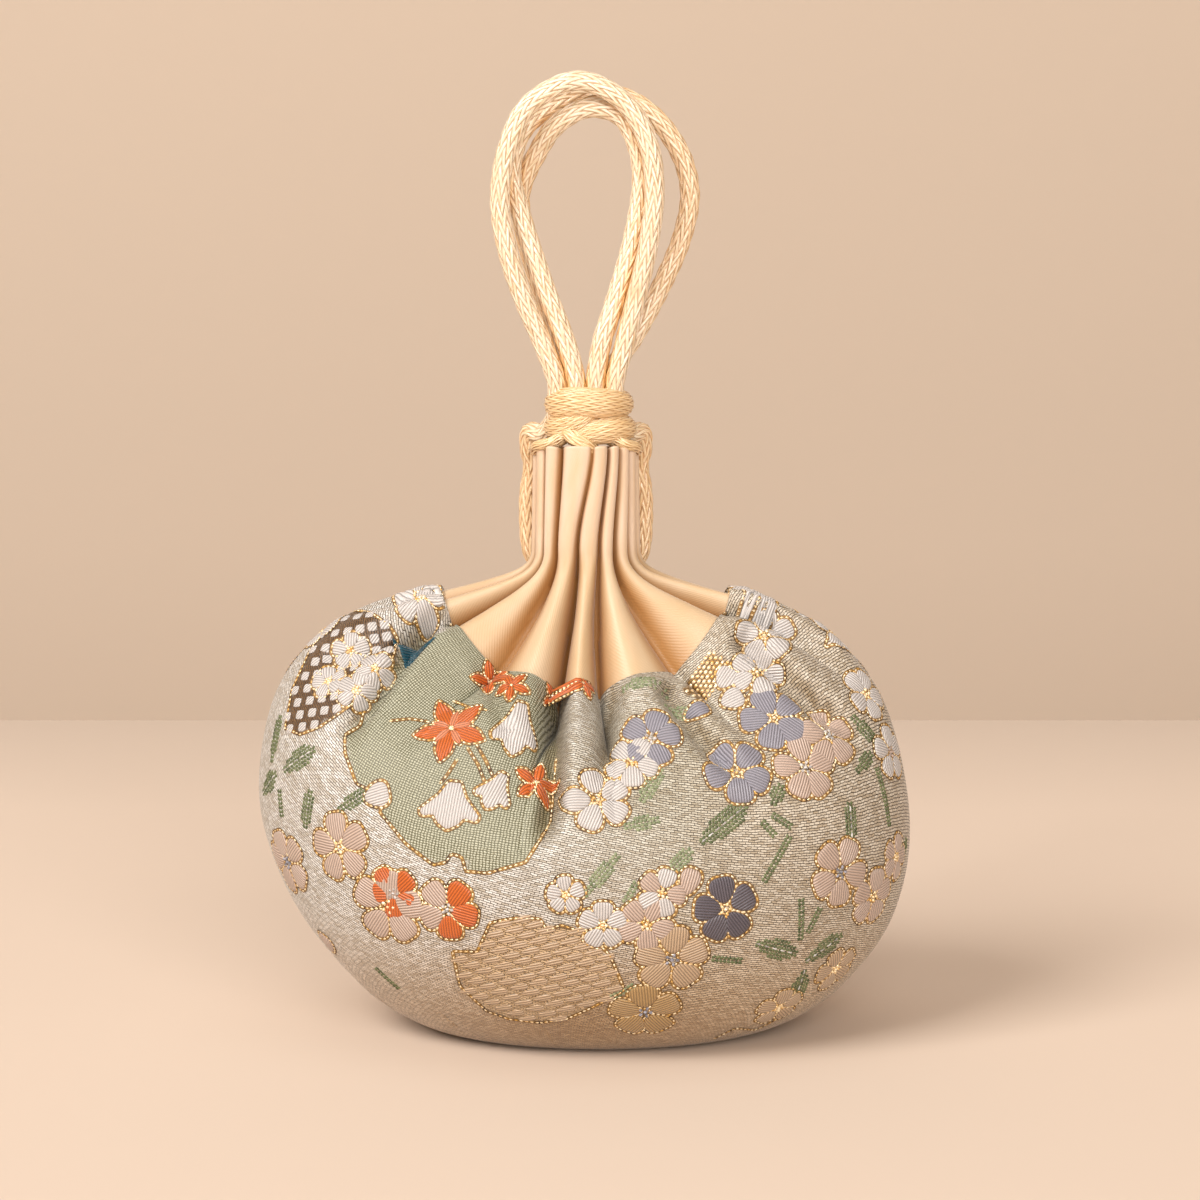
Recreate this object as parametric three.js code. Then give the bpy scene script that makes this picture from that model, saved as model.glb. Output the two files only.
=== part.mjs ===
// Gathered scent pouch: stuffed brocade body, pleated satin collar, wrapped knot and three cord loops.
// Sizes in millimetres and angles in degrees. The front faces -Y, +Z is up, the base rests on z = 0.
import * as THREE from "three";

// Brocade body
const BODY_WIDTH = 70;
const BODY_DEPTH = 44;
const BELLY_HEIGHT_SIDE = 24;
const BELLY_HEIGHT_FRONT = 19;
const BELLY_TILT_HEIGHT = 2.6;
const BASE_WIDTH = 31;
const BASE_DEPTH = 20;
const BASE_SHIFT = 1.5;
const HEEL_FULLNESS = 0.56;
const SHOULDER_HEIGHT_SIDE = 44.8;
const SHOULDER_HEIGHT_FRONT = 31;
const SHOULDER_FULLNESS = 0.85;
const SIDE_SHARPNESS = 3.5;

// Seam where the brocade meets the satin
const SEAM_WIDTH = 31;
const SEAM_DEPTH = 22;
const SEAM_HEIGHT = 47.4;
const SEAM_DROP_FRONT = 7.8;
const SEAM_CLEARANCE = 0.3;
const SEAM_LINING = 0.8;
const SEAM_CAP_DROP = 4;

// Satin collar: the gathered skirt up to the neck and the pleated frill above it
const NECK_WIDTH = 11.6;
const NECK_DEPTH = 8.4;
const NECK_ABOVE_SEAM = 2.2;
const NECK_ROUNDING = 2.4;
const FRILL_WIDTH = 11.2;
const FRILL_DEPTH = 8.6;
const FRILL_HEIGHT = 10.4;
const MOUTH_DEPTH = 3;
const MOUTH_LINING = 0.4;
const NECK_PLEAT_DEPTH = 1.6;
const FRILL_PLEAT_DEPTH = 1.7;
const PLEAT_FULLNESS = 2.2;
const FOLD_FULLNESS = 1.6;

// Depth at the seam of the deepest valley between two gathers
const GATHER_DEPTH = 5;

// Gathers in order round the neck from the back. Each starts at a valley, whose turn from the front is
// given at the frill's edge, at the neck and at the seam, with its share of the gather depth, the share of
// the way down to the belly that it runs, and the share across the gather at which its crest lies.
const GATHERS = [
  { frill: -160, neck: -158, seam: -163, deep: 0.6, run: 0.4, crest: 0.5 },
  { frill: -132, neck: -130, seam: -137, deep: 0.6, run: 0.35, crest: 0.45 },
  { frill: -106, neck: -103, seam: -110, deep: 0.52, run: 0.4, crest: 0.55 },
  { frill: -78, neck: -76, seam: -86, deep: 0.44, run: 0.3, crest: 0.58 },
  { frill: -54, neck: -54, seam: -67, deep: 0.72, run: 0.6, crest: 0.34 },
  { frill: -31, neck: -37, seam: -37, deep: 0.56, run: 0.4, crest: 0.6 },
  { frill: 8, neck: -10, seam: -11, deep: 1, run: 0.8, crest: 0.48 },
  { frill: 28, neck: 16, seam: 6, deep: 0.88, run: 0.6, crest: 0.44 },
  { frill: 43, neck: 34, seam: 38, deep: 0.6, run: 0.5, crest: 0.66 },
  { frill: 58, neck: 54, seam: 74, deep: 0.72, run: 0.6, crest: 0.5 },
  { frill: 79, neck: 77, seam: 91, deep: 0.44, run: 0.3, crest: 0.5 },
  { frill: 106, neck: 104, seam: 115, deep: 0.56, run: 0.4, crest: 0.5 },
  { frill: 133, neck: 131, seam: 141, deep: 0.6, run: 0.35, crest: 0.55 },
  { frill: 165, neck: 166, seam: 168, deep: 0.64, run: 0.45, crest: 0.5 },
];

// Cord, knot and loops
const CORD_DIAMETER = 1.9;
const STRAND_GAP = 0.12;
const CORD_CLEARANCE = 0.3;
const CORD_STEP = 4;
const KNOT_WIDTH = 9.2;
const KNOT_DEPTH = 6.8;
const KNOT_HEIGHT = 5.8;
const KNOT_TURNS = 2.5;
const KNOT_GROOVE = 0.5;
const KNOT_LIFT = 0.6;

// Mesh fineness
const COLUMNS_PER_GATHER = 8;
const HEEL_ROWS = 8;
const SHOULDER_ROWS = 12;
const SKIRT_ROWS = 8;
const FRILL_ROWS = 4;
const KNOT_COLUMNS = 32;
const KNOT_ROWS = 18;
const CORD_SIDES = 8;

const NECK_HEIGHT = SEAM_HEIGHT + NECK_ABOVE_SEAM;
const FRILL_START = NECK_HEIGHT + NECK_ROUNDING;
const FRILL_TOP = FRILL_START + FRILL_HEIGHT;
const KNOT_BOTTOM = FRILL_TOP + KNOT_LIFT;
const KNOT_TOP = KNOT_BOTTOM + KNOT_HEIGHT;
const LANE = CORD_DIAMETER + STRAND_GAP;

// Levels up the cloth: 0 edge of the base, 1 belly, 2 seam, 3 start of the frill, 4 cut edge of the frill
const LEVEL = { belly: 1, seam: 2, frill: 3, edge: 4 };

const SIDE = {
  base: BASE_WIDTH / 2,
  belly: BODY_WIDTH / 2,
  bellyHeight: BELLY_HEIGHT_SIDE,
  shoulderHeight: SHOULDER_HEIGHT_SIDE,
  seam: SEAM_WIDTH / 2,
  seamHeight: SEAM_HEIGHT,
  neck: NECK_WIDTH / 2,
  edge: FRILL_WIDTH / 2,
};

const FRONT = {
  base: BASE_DEPTH / 2,
  belly: BODY_DEPTH / 2,
  bellyHeight: BELLY_HEIGHT_FRONT,
  shoulderHeight: SHOULDER_HEIGHT_FRONT,
  seam: SEAM_DEPTH / 2,
  seamHeight: SEAM_HEIGHT - SEAM_DROP_FRONT,
  neck: NECK_DEPTH / 2,
  edge: FRILL_DEPTH / 2,
};

const mix = THREE.MathUtils.lerp;
const smooth = (share) => THREE.MathUtils.smoothstep(share, 0, 1);

// Rounded bend that leaves start and reaches end along the lines through the corner.
function bend(start, corner, end, fullness, share) {
  const a = (1 - share) ** 2;
  const b = 2 * fullness * share * (1 - share);
  const c = share ** 2;
  return start.map((value, i) => (a * value + b * corner[i] + c * end[i]) / (a + b + c));
}

// Distance from the axis and height of the smooth cloth at a level, seen from the front or from the side.
function outline(cut, level) {
  const belly = [cut.belly, cut.bellyHeight];
  const seam = [cut.seam, cut.seamHeight];
  const neck = [cut.neck, NECK_HEIGHT];
  const frill = [cut.neck, FRILL_START];
  const shoulder = [cut.belly, cut.shoulderHeight];
  if (level < LEVEL.belly) return bend([cut.base, 0], [cut.belly, 0], belly, HEEL_FULLNESS, level);
  if (level < LEVEL.seam) return bend(belly, shoulder, seam, SHOULDER_FULLNESS, level - LEVEL.belly);
  if (level < LEVEL.frill) return bend(seam, neck, frill, 1, level - LEVEL.seam);
  return [mix(cut.neck, cut.edge, level - LEVEL.frill), mix(FRILL_START, FRILL_TOP, level - LEVEL.frill)];
}

// Point of the cloth before it is gathered. The filling has settled a little towards +X.
function smoothCloth(turn, level) {
  const angle = THREE.MathUtils.degToRad(turn);
  const side = outline(SIDE, level);
  const front = outline(FRONT, level);
  const settled = level < LEVEL.seam ? Math.sin((Math.PI * level) / LEVEL.seam) ** 2 : 0;
  const shift = level < LEVEL.belly ? BASE_SHIFT * (1 - level) ** 2 : 0;
  const sideways = Math.abs(Math.sin(angle)) ** SIDE_SHARPNESS;
  return new THREE.Vector3(
    side[0] * Math.sin(angle) + shift,
    -front[0] * Math.cos(angle),
    mix(front[1], side[1], sideways) - BELLY_TILT_HEIGHT * settled * Math.sin(angle),
  );
}

function outwards(turn, level) {
  const probe = 0.01;
  const degrees = THREE.MathUtils.radToDeg(probe);
  const low = Math.max(level - probe, 0);
  const high = Math.min(level + probe, LEVEL.edge);
  const round = smoothCloth(turn + degrees, level).sub(smoothCloth(turn - degrees, level));
  const up = smoothCloth(turn, high).sub(smoothCloth(turn, low));
  return round.cross(up).normalize();
}

function valleyTurn(index, level) {
  const lap = index >= GATHERS.length ? 360 : 0;
  const valley = GATHERS[index % GATHERS.length];
  if (level <= LEVEL.seam) return valley.seam + lap;
  if (level <= LEVEL.frill) return mix(valley.seam, valley.neck, smooth(level - LEVEL.seam)) + lap;
  return mix(valley.neck, valley.frill, smooth(level - LEVEL.frill)) + lap;
}

function valleyDepth(index, level) {
  const valley = GATHERS[index % GATHERS.length];
  const deep = GATHER_DEPTH * valley.deep;
  if (level <= LEVEL.seam) return deep * smooth(1 - (LEVEL.seam - level) / valley.run);
  if (level <= LEVEL.frill) return mix(deep, NECK_PLEAT_DEPTH, level - LEVEL.seam);
  return mix(NECK_PLEAT_DEPTH, FRILL_PLEAT_DEPTH, level - LEVEL.frill);
}

// Point of the gathered cloth, a share of the way across one gather.
function gatheredCloth(index, share, level) {
  const turn = mix(valleyTurn(index, level), valleyTurn(index + 1, level), share);
  const crest = GATHERS[index].crest;
  const rising = share < crest;
  const climb = rising ? share / crest : (1 - share) / (1 - crest);
  const tightness = THREE.MathUtils.clamp(level - LEVEL.seam, 0, 1);
  const roundness = mix(FOLD_FULLNESS, PLEAT_FULLNESS, tightness);
  const arch = (1 - (1 - climb) ** roundness) ** (1 / roundness);
  const depth = valleyDepth(rising ? index : index + 1, level) * (1 - arch);
  return smoothCloth(turn, level).addScaledVector(outwards(turn, level), -depth);
}

// Gather number and share across it for each column of the cloth, closer together near the valleys.
function columns() {
  const list = [];
  GATHERS.forEach((gather, index) => {
    for (let i = 0; i < COLUMNS_PER_GATHER; i++) {
      list.push([index, (1 - Math.cos((Math.PI * i) / COLUMNS_PER_GATHER)) / 2]);
    }
  });
  return list;
}

function clothRing(level, lift) {
  return columns().map(([index, share]) => {
    const point = gatheredCloth(index, share, level);
    point.z += lift;
    return point;
  });
}

function clothRings(from, to, rows, lift) {
  const rings = [];
  for (let i = 0; i <= rows; i++) rings.push(clothRing(mix(from, to, i / rows), lift));
  return rings;
}

// Closed skin over rings of points, with a fan to a middle point below the first ring and above the last.
function skin(rings, bottom, top) {
  const count = rings[0].length;
  const points = rings.flat();
  const low = points.push(bottom) - 1;
  const high = points.push(top) - 1;
  const last = (rings.length - 1) * count;
  const faces = [];
  for (let i = 0; i < count; i++) {
    const next = (i + 1) % count;
    faces.push(low, next, i);
    for (let base = 0; base < last; base += count) {
      faces.push(base + i, base + next, base + count + next);
      faces.push(base + i, base + count + next, base + count + i);
    }
    faces.push(last + i, last + next, high);
  }
  const geometry = new THREE.BufferGeometry().setFromPoints(points);
  geometry.setIndex(faces);
  geometry.computeVertexNormals();
  return geometry;
}

// Smooth ring inside the gathers, behind their deepest valleys.
function innerRing(level, depth, lift) {
  return columns().map(([index, share]) => {
    const turn = mix(valleyTurn(index, level), valleyTurn(index + 1, level), share);
    const valley = mix(valleyDepth(index, level), valleyDepth(index + 1, level), share);
    const point = smoothCloth(turn, level).addScaledVector(outwards(turn, level), -valley - depth);
    point.z += lift;
    return point;
  });
}

function brocadeBody() {
  const rings = clothRings(0, LEVEL.belly, HEEL_ROWS, 0);
  rings.pop();
  rings.push(...clothRings(LEVEL.belly, LEVEL.seam, SHOULDER_ROWS, 0));
  rings.push(innerRing(LEVEL.seam, SEAM_LINING, 0));
  const bottom = new THREE.Vector3(BASE_SHIFT, 0, 0);
  const top = new THREE.Vector3(0, 0, SEAM_HEIGHT - SEAM_CAP_DROP);
  return skin(rings, bottom, top);
}

function satinCollar() {
  const rings = clothRings(LEVEL.seam, LEVEL.frill, SKIRT_ROWS, SEAM_CLEARANCE);
  rings.pop();
  rings.unshift(innerRing(LEVEL.seam, SEAM_LINING, SEAM_CLEARANCE));
  rings.push(...clothRings(LEVEL.frill, LEVEL.edge, FRILL_ROWS, SEAM_CLEARANCE));
  rings.push(innerRing(LEVEL.edge, MOUTH_LINING, SEAM_CLEARANCE));
  const bottom = new THREE.Vector3(0, 0, SEAM_HEIGHT - SEAM_CAP_DROP + SEAM_CLEARANCE);
  const top = new THREE.Vector3(0, 0, FRILL_TOP - MOUTH_DEPTH + SEAM_CLEARANCE);
  return skin(rings, bottom, top);
}

// Knot: turns of cord wound round the strands, with the groove between the turns climbing round it.
function knotRing(share) {
  const ring = [];
  const round = Math.sin(Math.PI * mix(0.14, 0.86, share)) ** 0.5;
  for (let i = 0; i < KNOT_COLUMNS; i++) {
    const lap = i / KNOT_COLUMNS;
    const angle = 2 * Math.PI * lap;
    const wave = Math.abs(Math.sin(Math.PI * (KNOT_TURNS * share + lap)));
    const groove = KNOT_GROOVE * (1 - wave ** 0.5);
    const x = (KNOT_WIDTH / 2 - groove) * round * Math.cos(angle);
    const y = (KNOT_DEPTH / 2 - groove) * round * Math.sin(angle);
    ring.push(new THREE.Vector3(x, y, mix(KNOT_BOTTOM, KNOT_TOP, share)));
  }
  return ring;
}

function knot() {
  const rings = [];
  for (let i = 0; i <= KNOT_ROWS; i++) rings.push(knotRing(i / KNOT_ROWS));
  const bottom = new THREE.Vector3(0, 0, KNOT_BOTTOM);
  const top = new THREE.Vector3(0, 0, KNOT_TOP);
  return skin(rings, bottom, top);
}

// Round cord along a list of points.
function cord(points) {
  const extrudePath = new THREE.CatmullRomCurve3(points);
  const corners = [];
  for (let i = 0; i < CORD_SIDES; i++) {
    const corner = new THREE.Vector2(CORD_DIAMETER / 2, 0);
    corners.push(corner.rotateAround(new THREE.Vector2(), (2 * Math.PI * i) / CORD_SIDES));
  }
  const steps = Math.round(extrudePath.getLength() / CORD_STEP);
  return new THREE.ExtrudeGeometry(new THREE.Shape(corners), { steps, extrudePath, bevelEnabled: false });
}

// Loop points: x, lane from front to back, height above the knot.
function loop(points) {
  const start = KNOT_TOP + CORD_CLEARANCE + CORD_DIAMETER / 4;
  return cord(points.map(([x, lane, z]) => new THREE.Vector3(x, lane * LANE, start + z)));
}

function frontLoop() {
  return loop([
    [-1.5 * LANE, -0.5, 0],
    [-4.5, -0.6, 4.2],
    [-6.7, -0.8, 9.4],
    [-8.3, -1, 14.5],
    [-8.95, -1, 19.4],
    [-8.15, -1, 24.6],
    [-5.9, -1, 29.1],
    [-0.8, -1, 31.6],
    [3.8, -1, 29.6],
    [6.4, -1, 25.6],
    [7.2, -1, 20.4],
    [6.6, -1, 14.8],
    [5.3, -0.8, 9.1],
    [4, -0.6, 3.9],
    [1.5 * LANE, -0.5, 0],
  ]);
}

function innerLoop() {
  return loop([
    [-LANE, 0.5, 0],
    [-2.7, 0.9, 4.4],
    [-5, 1.1, 10.6],
    [-6.4, 1.1, 15.4],
    [-6.9, 1, 19.9],
    [-4.9, 0.65, 24.5],
    [-3, 0.1, 27.1],
    [0.2, 0, 28.8],
    [3.6, 0, 28],
    [5.3, 0, 25.1],
    [5.9, 0, 21.5],
    [5, -0.2, 15.4],
    [2.9, -0.4, 8.1],
    [1.7, -0.5, 4.4],
    [0.5 * LANE, -0.5, 0],
  ]);
}

function backLoop() {
  return loop([
    [-0.5 * LANE, -0.5, 0],
    [-1.9, -0.5, 3.8],
    [-4.4, -0.4, 10.5],
    [-6.8, -0.2, 17.8],
    [-7.8, 0, 22.1],
    [-6.8, 0.35, 26.2],
    [-4, 0.9, 28.8],
    [-0.1, 1, 30.3],
    [4, 1, 29.9],
    [7.3, 1, 27.8],
    [10, 1, 24],
    [11, 1, 19.9],
    [10.2, 1, 15.4],
    [8.2, 0.9, 10.6],
    [5.2, 0.6, 5],
    [LANE, 0.5, 0],
  ]);
}

// Draw cord from the channel's mouth at the neck, up beside the frill and over its edge to the knot.
function drawCord(side) {
  const reach = CORD_DIAMETER / 2 + CORD_CLEARANCE;
  const neck = NECK_WIDTH / 2 + reach;
  const edge = FRILL_WIDTH / 2 + reach;
  const rim = FRILL_TOP + SEAM_CLEARANCE;
  return cord([
    new THREE.Vector3(side * (neck - 1.2), 3.4, FRILL_START - 0.6),
    new THREE.Vector3(side * (neck - 0.9), 3.5, FRILL_START + 2.4),
    new THREE.Vector3(side * (neck - 0.95), 3.5, FRILL_START + 5.6),
    new THREE.Vector3(side * (edge - 1.15), 3.4, rim - 2.2),
    new THREE.Vector3(side * (edge - 0.8), 3, rim - 0.3),
    new THREE.Vector3(side * (edge - 0.95), 2.2, rim + reach + 0.25),
    new THREE.Vector3(side * (KNOT_WIDTH / 2 - 0.1), 1, rim + reach + 0.2),
  ]);
}

function piece(name, geometry, color, roughness) {
  const material = new THREE.MeshStandardMaterial({ color, roughness, metalness: 0 });
  const mesh = new THREE.Mesh(geometry, material);
  mesh.name = name;
  return mesh;
}

const BROCADE = 0xc6b69c;
const SATIN = 0xeccba2;
const CORD = 0xf5dcae;

const pouch = new THREE.Group();
pouch.add(
  piece("brocade_body", brocadeBody(), BROCADE, 0.6),
  piece("satin_collar", satinCollar(), SATIN, 0.4),
  piece("knot", knot(), CORD, 0.35),
  piece("front_loop", frontLoop(), CORD, 0.35),
  piece("inner_loop", innerLoop(), CORD, 0.35),
  piece("back_loop", backLoop(), CORD, 0.35),
  piece("left_draw_cord", drawCord(-1), CORD, 0.35),
  piece("right_draw_cord", drawCord(1), CORD, 0.35),
);

export default pouch;
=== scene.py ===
import math

import bpy
import numpy as np
from mathutils import Matrix, Vector, noise
from mathutils.bvhtree import BVHTree
from mathutils.kdtree import KDTree


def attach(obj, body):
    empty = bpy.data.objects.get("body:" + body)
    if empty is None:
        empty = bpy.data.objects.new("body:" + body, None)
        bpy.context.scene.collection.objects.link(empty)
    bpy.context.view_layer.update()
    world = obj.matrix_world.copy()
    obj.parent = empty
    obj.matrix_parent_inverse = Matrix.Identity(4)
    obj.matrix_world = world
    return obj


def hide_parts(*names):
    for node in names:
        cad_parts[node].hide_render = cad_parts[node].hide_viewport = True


# Gathered scent pouch: brocade body, pleated satin collar, wrapped knot and braided cord loops.
# Sizes are millimetres until a mesh is made. The front faces -Y, +Z is up, the base rests on z = 0.
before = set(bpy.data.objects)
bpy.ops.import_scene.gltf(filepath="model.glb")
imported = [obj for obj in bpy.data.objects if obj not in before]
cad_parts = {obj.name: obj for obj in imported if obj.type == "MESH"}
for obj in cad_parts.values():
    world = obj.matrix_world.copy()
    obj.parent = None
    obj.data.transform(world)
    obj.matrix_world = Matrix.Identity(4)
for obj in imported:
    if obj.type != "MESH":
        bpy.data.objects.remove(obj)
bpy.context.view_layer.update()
MM = 0.001
# Least length, so that nothing is divided by zero
TINY = 1e-6

# Camera: lens, distance, elevation in degrees, target and nearest distance that is seen
CAMERA_LENS = 100
CAMERA_DISTANCE = 356
CAMERA_ELEVATION = 8
CAMERA_TARGET = (1.5, 0, 46.4)
CAMERA_CLIP = 10

# Cord routes, repeated from the CAD model: x, lane from front to back, height above the knot
CORD_DIAMETER = 1.9
LANE = CORD_DIAMETER + 0.12
KNOT_TOP = 68.8
LOOP_START = KNOT_TOP + 0.3 + CORD_DIAMETER / 4
FRONT_LOOP = [
    (-1.5 * LANE, -0.5, 0), (-4.5, -0.6, 4.2), (-6.7, -0.8, 9.4), (-8.3, -1, 14.5), (-8.95, -1, 19.4),
    (-8.15, -1, 24.6), (-5.9, -1, 29.1), (-0.8, -1, 31.6), (3.8, -1, 29.6), (6.4, -1, 25.6),
    (7.2, -1, 20.4), (6.6, -1, 14.8), (5.3, -0.8, 9.1), (4, -0.6, 3.9), (1.5 * LANE, -0.5, 0),
]
INNER_LOOP = [
    (-LANE, 0.5, 0), (-2.7, 0.9, 4.4), (-5, 1.1, 10.6), (-6.4, 1.1, 15.4), (-6.9, 1, 19.9),
    (-4.9, 0.65, 24.5), (-3, 0.1, 27.1), (0.2, 0, 28.8), (3.6, 0, 28), (5.3, 0, 25.1),
    (5.9, 0, 21.5), (5, -0.2, 15.4), (2.9, -0.4, 8.1), (1.7, -0.5, 4.4), (0.5 * LANE, -0.5, 0),
]
BACK_LOOP = [
    (-0.5 * LANE, -0.5, 0), (-1.9, -0.5, 3.8), (-4.4, -0.4, 10.5), (-6.8, -0.2, 17.8), (-7.8, 0, 22.1),
    (-6.8, 0.35, 26.2), (-4, 0.9, 28.8), (-0.1, 1, 30.3), (4, 1, 29.9), (7.3, 1, 27.8), (10, 1, 24),
    (11, 1, 19.9), (10.2, 1, 15.4), (8.2, 0.9, 10.6), (5.2, 0.6, 5), (LANE, 0.5, 0),
]
# Draw cord on the right side, from the channel's mouth up to the knot, and its end inside the channel
CHANNEL_END = (5.0, 3.3, 49.7)
DRAW_CORD = [
    (5.85, 3.4, 51.4), (6.15, 3.5, 54.4), (6.1, 3.5, 57.6), (5.7, 3.4, 60.5), (6.05, 3, 62.4),
    (5.9, 2.2, 64.2), (4.5, 1, 64.15),
]
# Way of the draw cord through the knot on the right side, up to the front loop
KNOT_PASS = [(3.4, 0.2, 65.6), (3.1, -0.6, 67.4)]
LOOP_TAIL = 2.2
# Samples of a curve between two of its points
SPLINE_SAMPLES = 40

# Braid of the cord
BRAID_STRANDS = 14
BRAID_LAY = 26
STRAND_OVERLAP = 1.2
STRAND_THICKNESS = 0.26
STRAND_SIDES = 6
BRAID_RADIUS = 0.9
BRAID_RISE = 0.05
BRAID_STEP = 0.32
CORE_RADIUS = 0.84
CORE_SIDES = 10
# Any direction that no cord starts along
FIRST_SIDE = (0.3, 1, 0.2)
# Silk with painted shade in the gaps between the strands and a painted highlight on top of them; the knot's
# copy is darker, painted shade of its tight turns
CORD_SILK_SHADE_AND_HIGHLIGHT = ("c47a28", "fff4dd")
KNOT_SILK_SHADE_AND_HIGHLIGHT = ("bf8038", "ffe2b4")

# Painted shade: silk is painted golden where a cord faces another, within these distances from its middle,
# and farther back, where the front cords shade it
CORD_SHADE_TINT = (0.96, 0.68, 0.32)
CORD_SHADE_NEAR = 1.1
CORD_SHADE_FAR = 1.95
CORD_SHADE_BEHIND = 0.45

# Cloth form, repeated from the CAD model
BASE_SHIFT = 1.5
BELLY_TILT = 2.6
HEEL_FULLNESS = 0.56
SHOULDER_FULLNESS = 0.85
SIDE_SHARPNESS = 3.5
NECK_HEIGHT = 49.6
FRILL_START = 52.0
FRILL_TOP = 62.4
NECK_PLEAT_DEPTH = 1.6
FRILL_PLEAT_DEPTH = 1.7
PLEAT_FULLNESS = 2.8
NECK_FULLNESS = 1.8
SOFT_VALLEY = 6
SOFT_VALLEY_DEPTH = 0.5
FOLD_FULLNESS = 1.6
SIDE = dict(
    base=15.5, belly=35, belly_height=24, shoulder=44.8, seam=15.5, seam_height=47.4, neck=5.8, edge=5.6,
)
FRONT = dict(
    base=10, belly=22, belly_height=19, shoulder=31, seam=11, seam_height=39.6, neck=4.2, edge=4.3,
)

# Gathers round the neck: turn of each valley at the frill's edge, the neck and the seam, its depth at the
# seam, the share of the way down to the belly that it runs, and where across the gather its crest lies
GATHERS = np.array([
    (-160, -158, -163, 3.0, 0.40, 0.50), (-132, -130, -137, 3.0, 0.35, 0.45),
    (-106, -103, -110, 2.6, 0.40, 0.55), (-78, -76, -86, 2.2, 0.30, 0.58),
    (-54, -54, -67, 3.6, 0.60, 0.34), (-31, -37, -37, 2.8, 0.40, 0.60),
    (8, -10, -11, 5.0, 0.80, 0.48), (28, 16, 6, 4.4, 0.60, 0.44),
    (43, 34, 38, 3.0, 0.50, 0.66), (58, 54, 74, 3.6, 0.60, 0.50),
    (79, 77, 91, 2.2, 0.30, 0.50), (106, 104, 115, 2.8, 0.40, 0.50),
    (133, 131, 141, 3.0, 0.35, 0.55), (165, 166, 168, 3.2, 0.45, 0.50),
])
FRILL_TURN, NECK_TURN, SEAM_TURN, DEEP, RUN, CREST = GATHERS.T

# Levels up the cloth, and how much of each fold lies on the floor of its valley
BELLY = 1
SEAM = 2
FRILL = 3
EDGE = 4
FLOOR_LEVELS = (SEAM - 0.1, SEAM + 0.3, FRILL, EDGE)
FLOOR_SHARES = (0, 0.16, 0.12, 0.06)


def linear(color):
    """Linear colour from a six-figure sRGB colour."""
    parts = [int(color[i:i + 2], 16) / 255 for i in (0, 2, 4)]
    return [part / 12.92 if part <= 0.04045 else ((part + 0.055) / 1.055) ** 2.4 for part in parts] + [1]


def mix(start, end, share):
    return start + (end - start) * share


def smooth(share):
    share = np.clip(share, 0, 1)
    return share * share * (3 - 2 * share)


def unit(vectors):
    return vectors / np.linalg.norm(vectors, axis=-1, keepdims=True)


def path_lengths(points):
    """Distance along a path up to each of its points."""
    return np.concatenate([[0], np.cumsum(np.linalg.norm(np.diff(points, axis=0), axis=1))])


def read_along(points, lengths, wanted):
    """Points of a path at the wanted distances along it."""
    return np.stack([np.interp(wanted, lengths, column) for column in points.T], axis=1)


# Materials

# Weave: twill of the satin, weft grains and green plain weave of the brocade, and how far the rows wander
TWILL_PITCH = 0.22
GRAIN_STRETCH = 1.5
GRAIN_LENGTH = 0.62
GRAIN_HEIGHT = 0.27
GRAIN_GAP = 0.045
GRAIN_SLANT = 12
PLAIN_PITCH = 0.3
WEAVE_WANDER = 0.3
GROUND_COLOR = "dddcdb"
# Radians that a wave texture turns by in one unit
WAVE_RATE = 20


def new_material(name, color, roughness, **sockets):
    material = bpy.data.materials.new(name)
    material.use_nodes = True
    shader = material.node_tree.nodes["Principled BSDF"]
    shader.inputs["Base Color"].default_value = linear(color)
    shader.inputs["Roughness"].default_value = roughness
    for socket, value in sockets.items():
        shader.inputs[socket.replace("_", " ")].default_value = value
    return material, shader


def add_node(material, kind, inputs=(), **settings):
    """New node with its settings; inputs are pairs of socket and value or linked output."""
    made = material.node_tree.nodes.new(kind)
    for name, value in settings.items():
        setattr(made, name, value)
    for socket, value in inputs:
        join(material, value, made.inputs[socket])
    return made


def join(material, value, socket):
    if isinstance(value, bpy.types.NodeSocket):
        material.node_tree.links.new(value, socket)
    else:
        socket.default_value = value


def mixed(material, factor, first, second, blend_type="MIX"):
    return add_node(material, "ShaderNodeMix", [
        ("Factor", factor), (6, first), (7, second),
    ], data_type="RGBA", blend_type=blend_type).outputs[2]


def multiplied(material, first, second):
    return mixed(material, 1.0, first, second, "MULTIPLY")


def calculated(material, operation, *values):
    return add_node(material, "ShaderNodeMath", enumerate(values), operation=operation).outputs["Value"]


def scaled_uv(material, along=1, across=1):
    """Texture place in millimetres of cloth, times a factor along and across."""
    place = add_node(material, "ShaderNodeUVMap", uv_map="cloth")
    return add_node(material, "ShaderNodeMapping", [
        ("Vector", place.outputs["UV"]), ("Scale", (along, across, 1)),
    ]).outputs["Vector"]


def add_bump(material, shader, height, distance):
    bump = add_node(material, "ShaderNodeBump", [("Height", height), ("Distance", distance * MM)])
    join(material, bump.outputs["Normal"], shader.inputs["Normal"])


def add_noise(material, place, scale, detail=2.0):
    return add_node(material, "ShaderNodeTexNoise", [
        ("Vector", place), ("Scale", scale), ("Detail", detail),
    ]).outputs


def add_bands(material, place, pitch, direction, distortion=0.0, detail=2.0):
    """Soft bands at an even pitch."""
    scale = 2 * math.pi / WAVE_RATE / pitch
    return add_node(material, "ShaderNodeTexWave", [
        ("Vector", place), ("Scale", scale), ("Distortion", distortion), ("Detail", detail),
    ], bands_direction=direction).outputs["Fac"]


def two_tones(material, factor, low, high):
    """Colour ramp between two places, each with its linear colour."""
    ramp = add_node(material, "ShaderNodeValToRGB", [("Fac", factor)])
    for element, (position, color) in zip(ramp.color_ramp.elements, (low, high)):
        element.position = position
        element.color = color
    return ramp.outputs["Color"]


def tint_of(material):
    """Colour painted on the points of a piece, much of it painted shade, with its alpha."""
    return add_node(material, "ShaderNodeVertexColor", layer_name="tint").outputs


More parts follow.
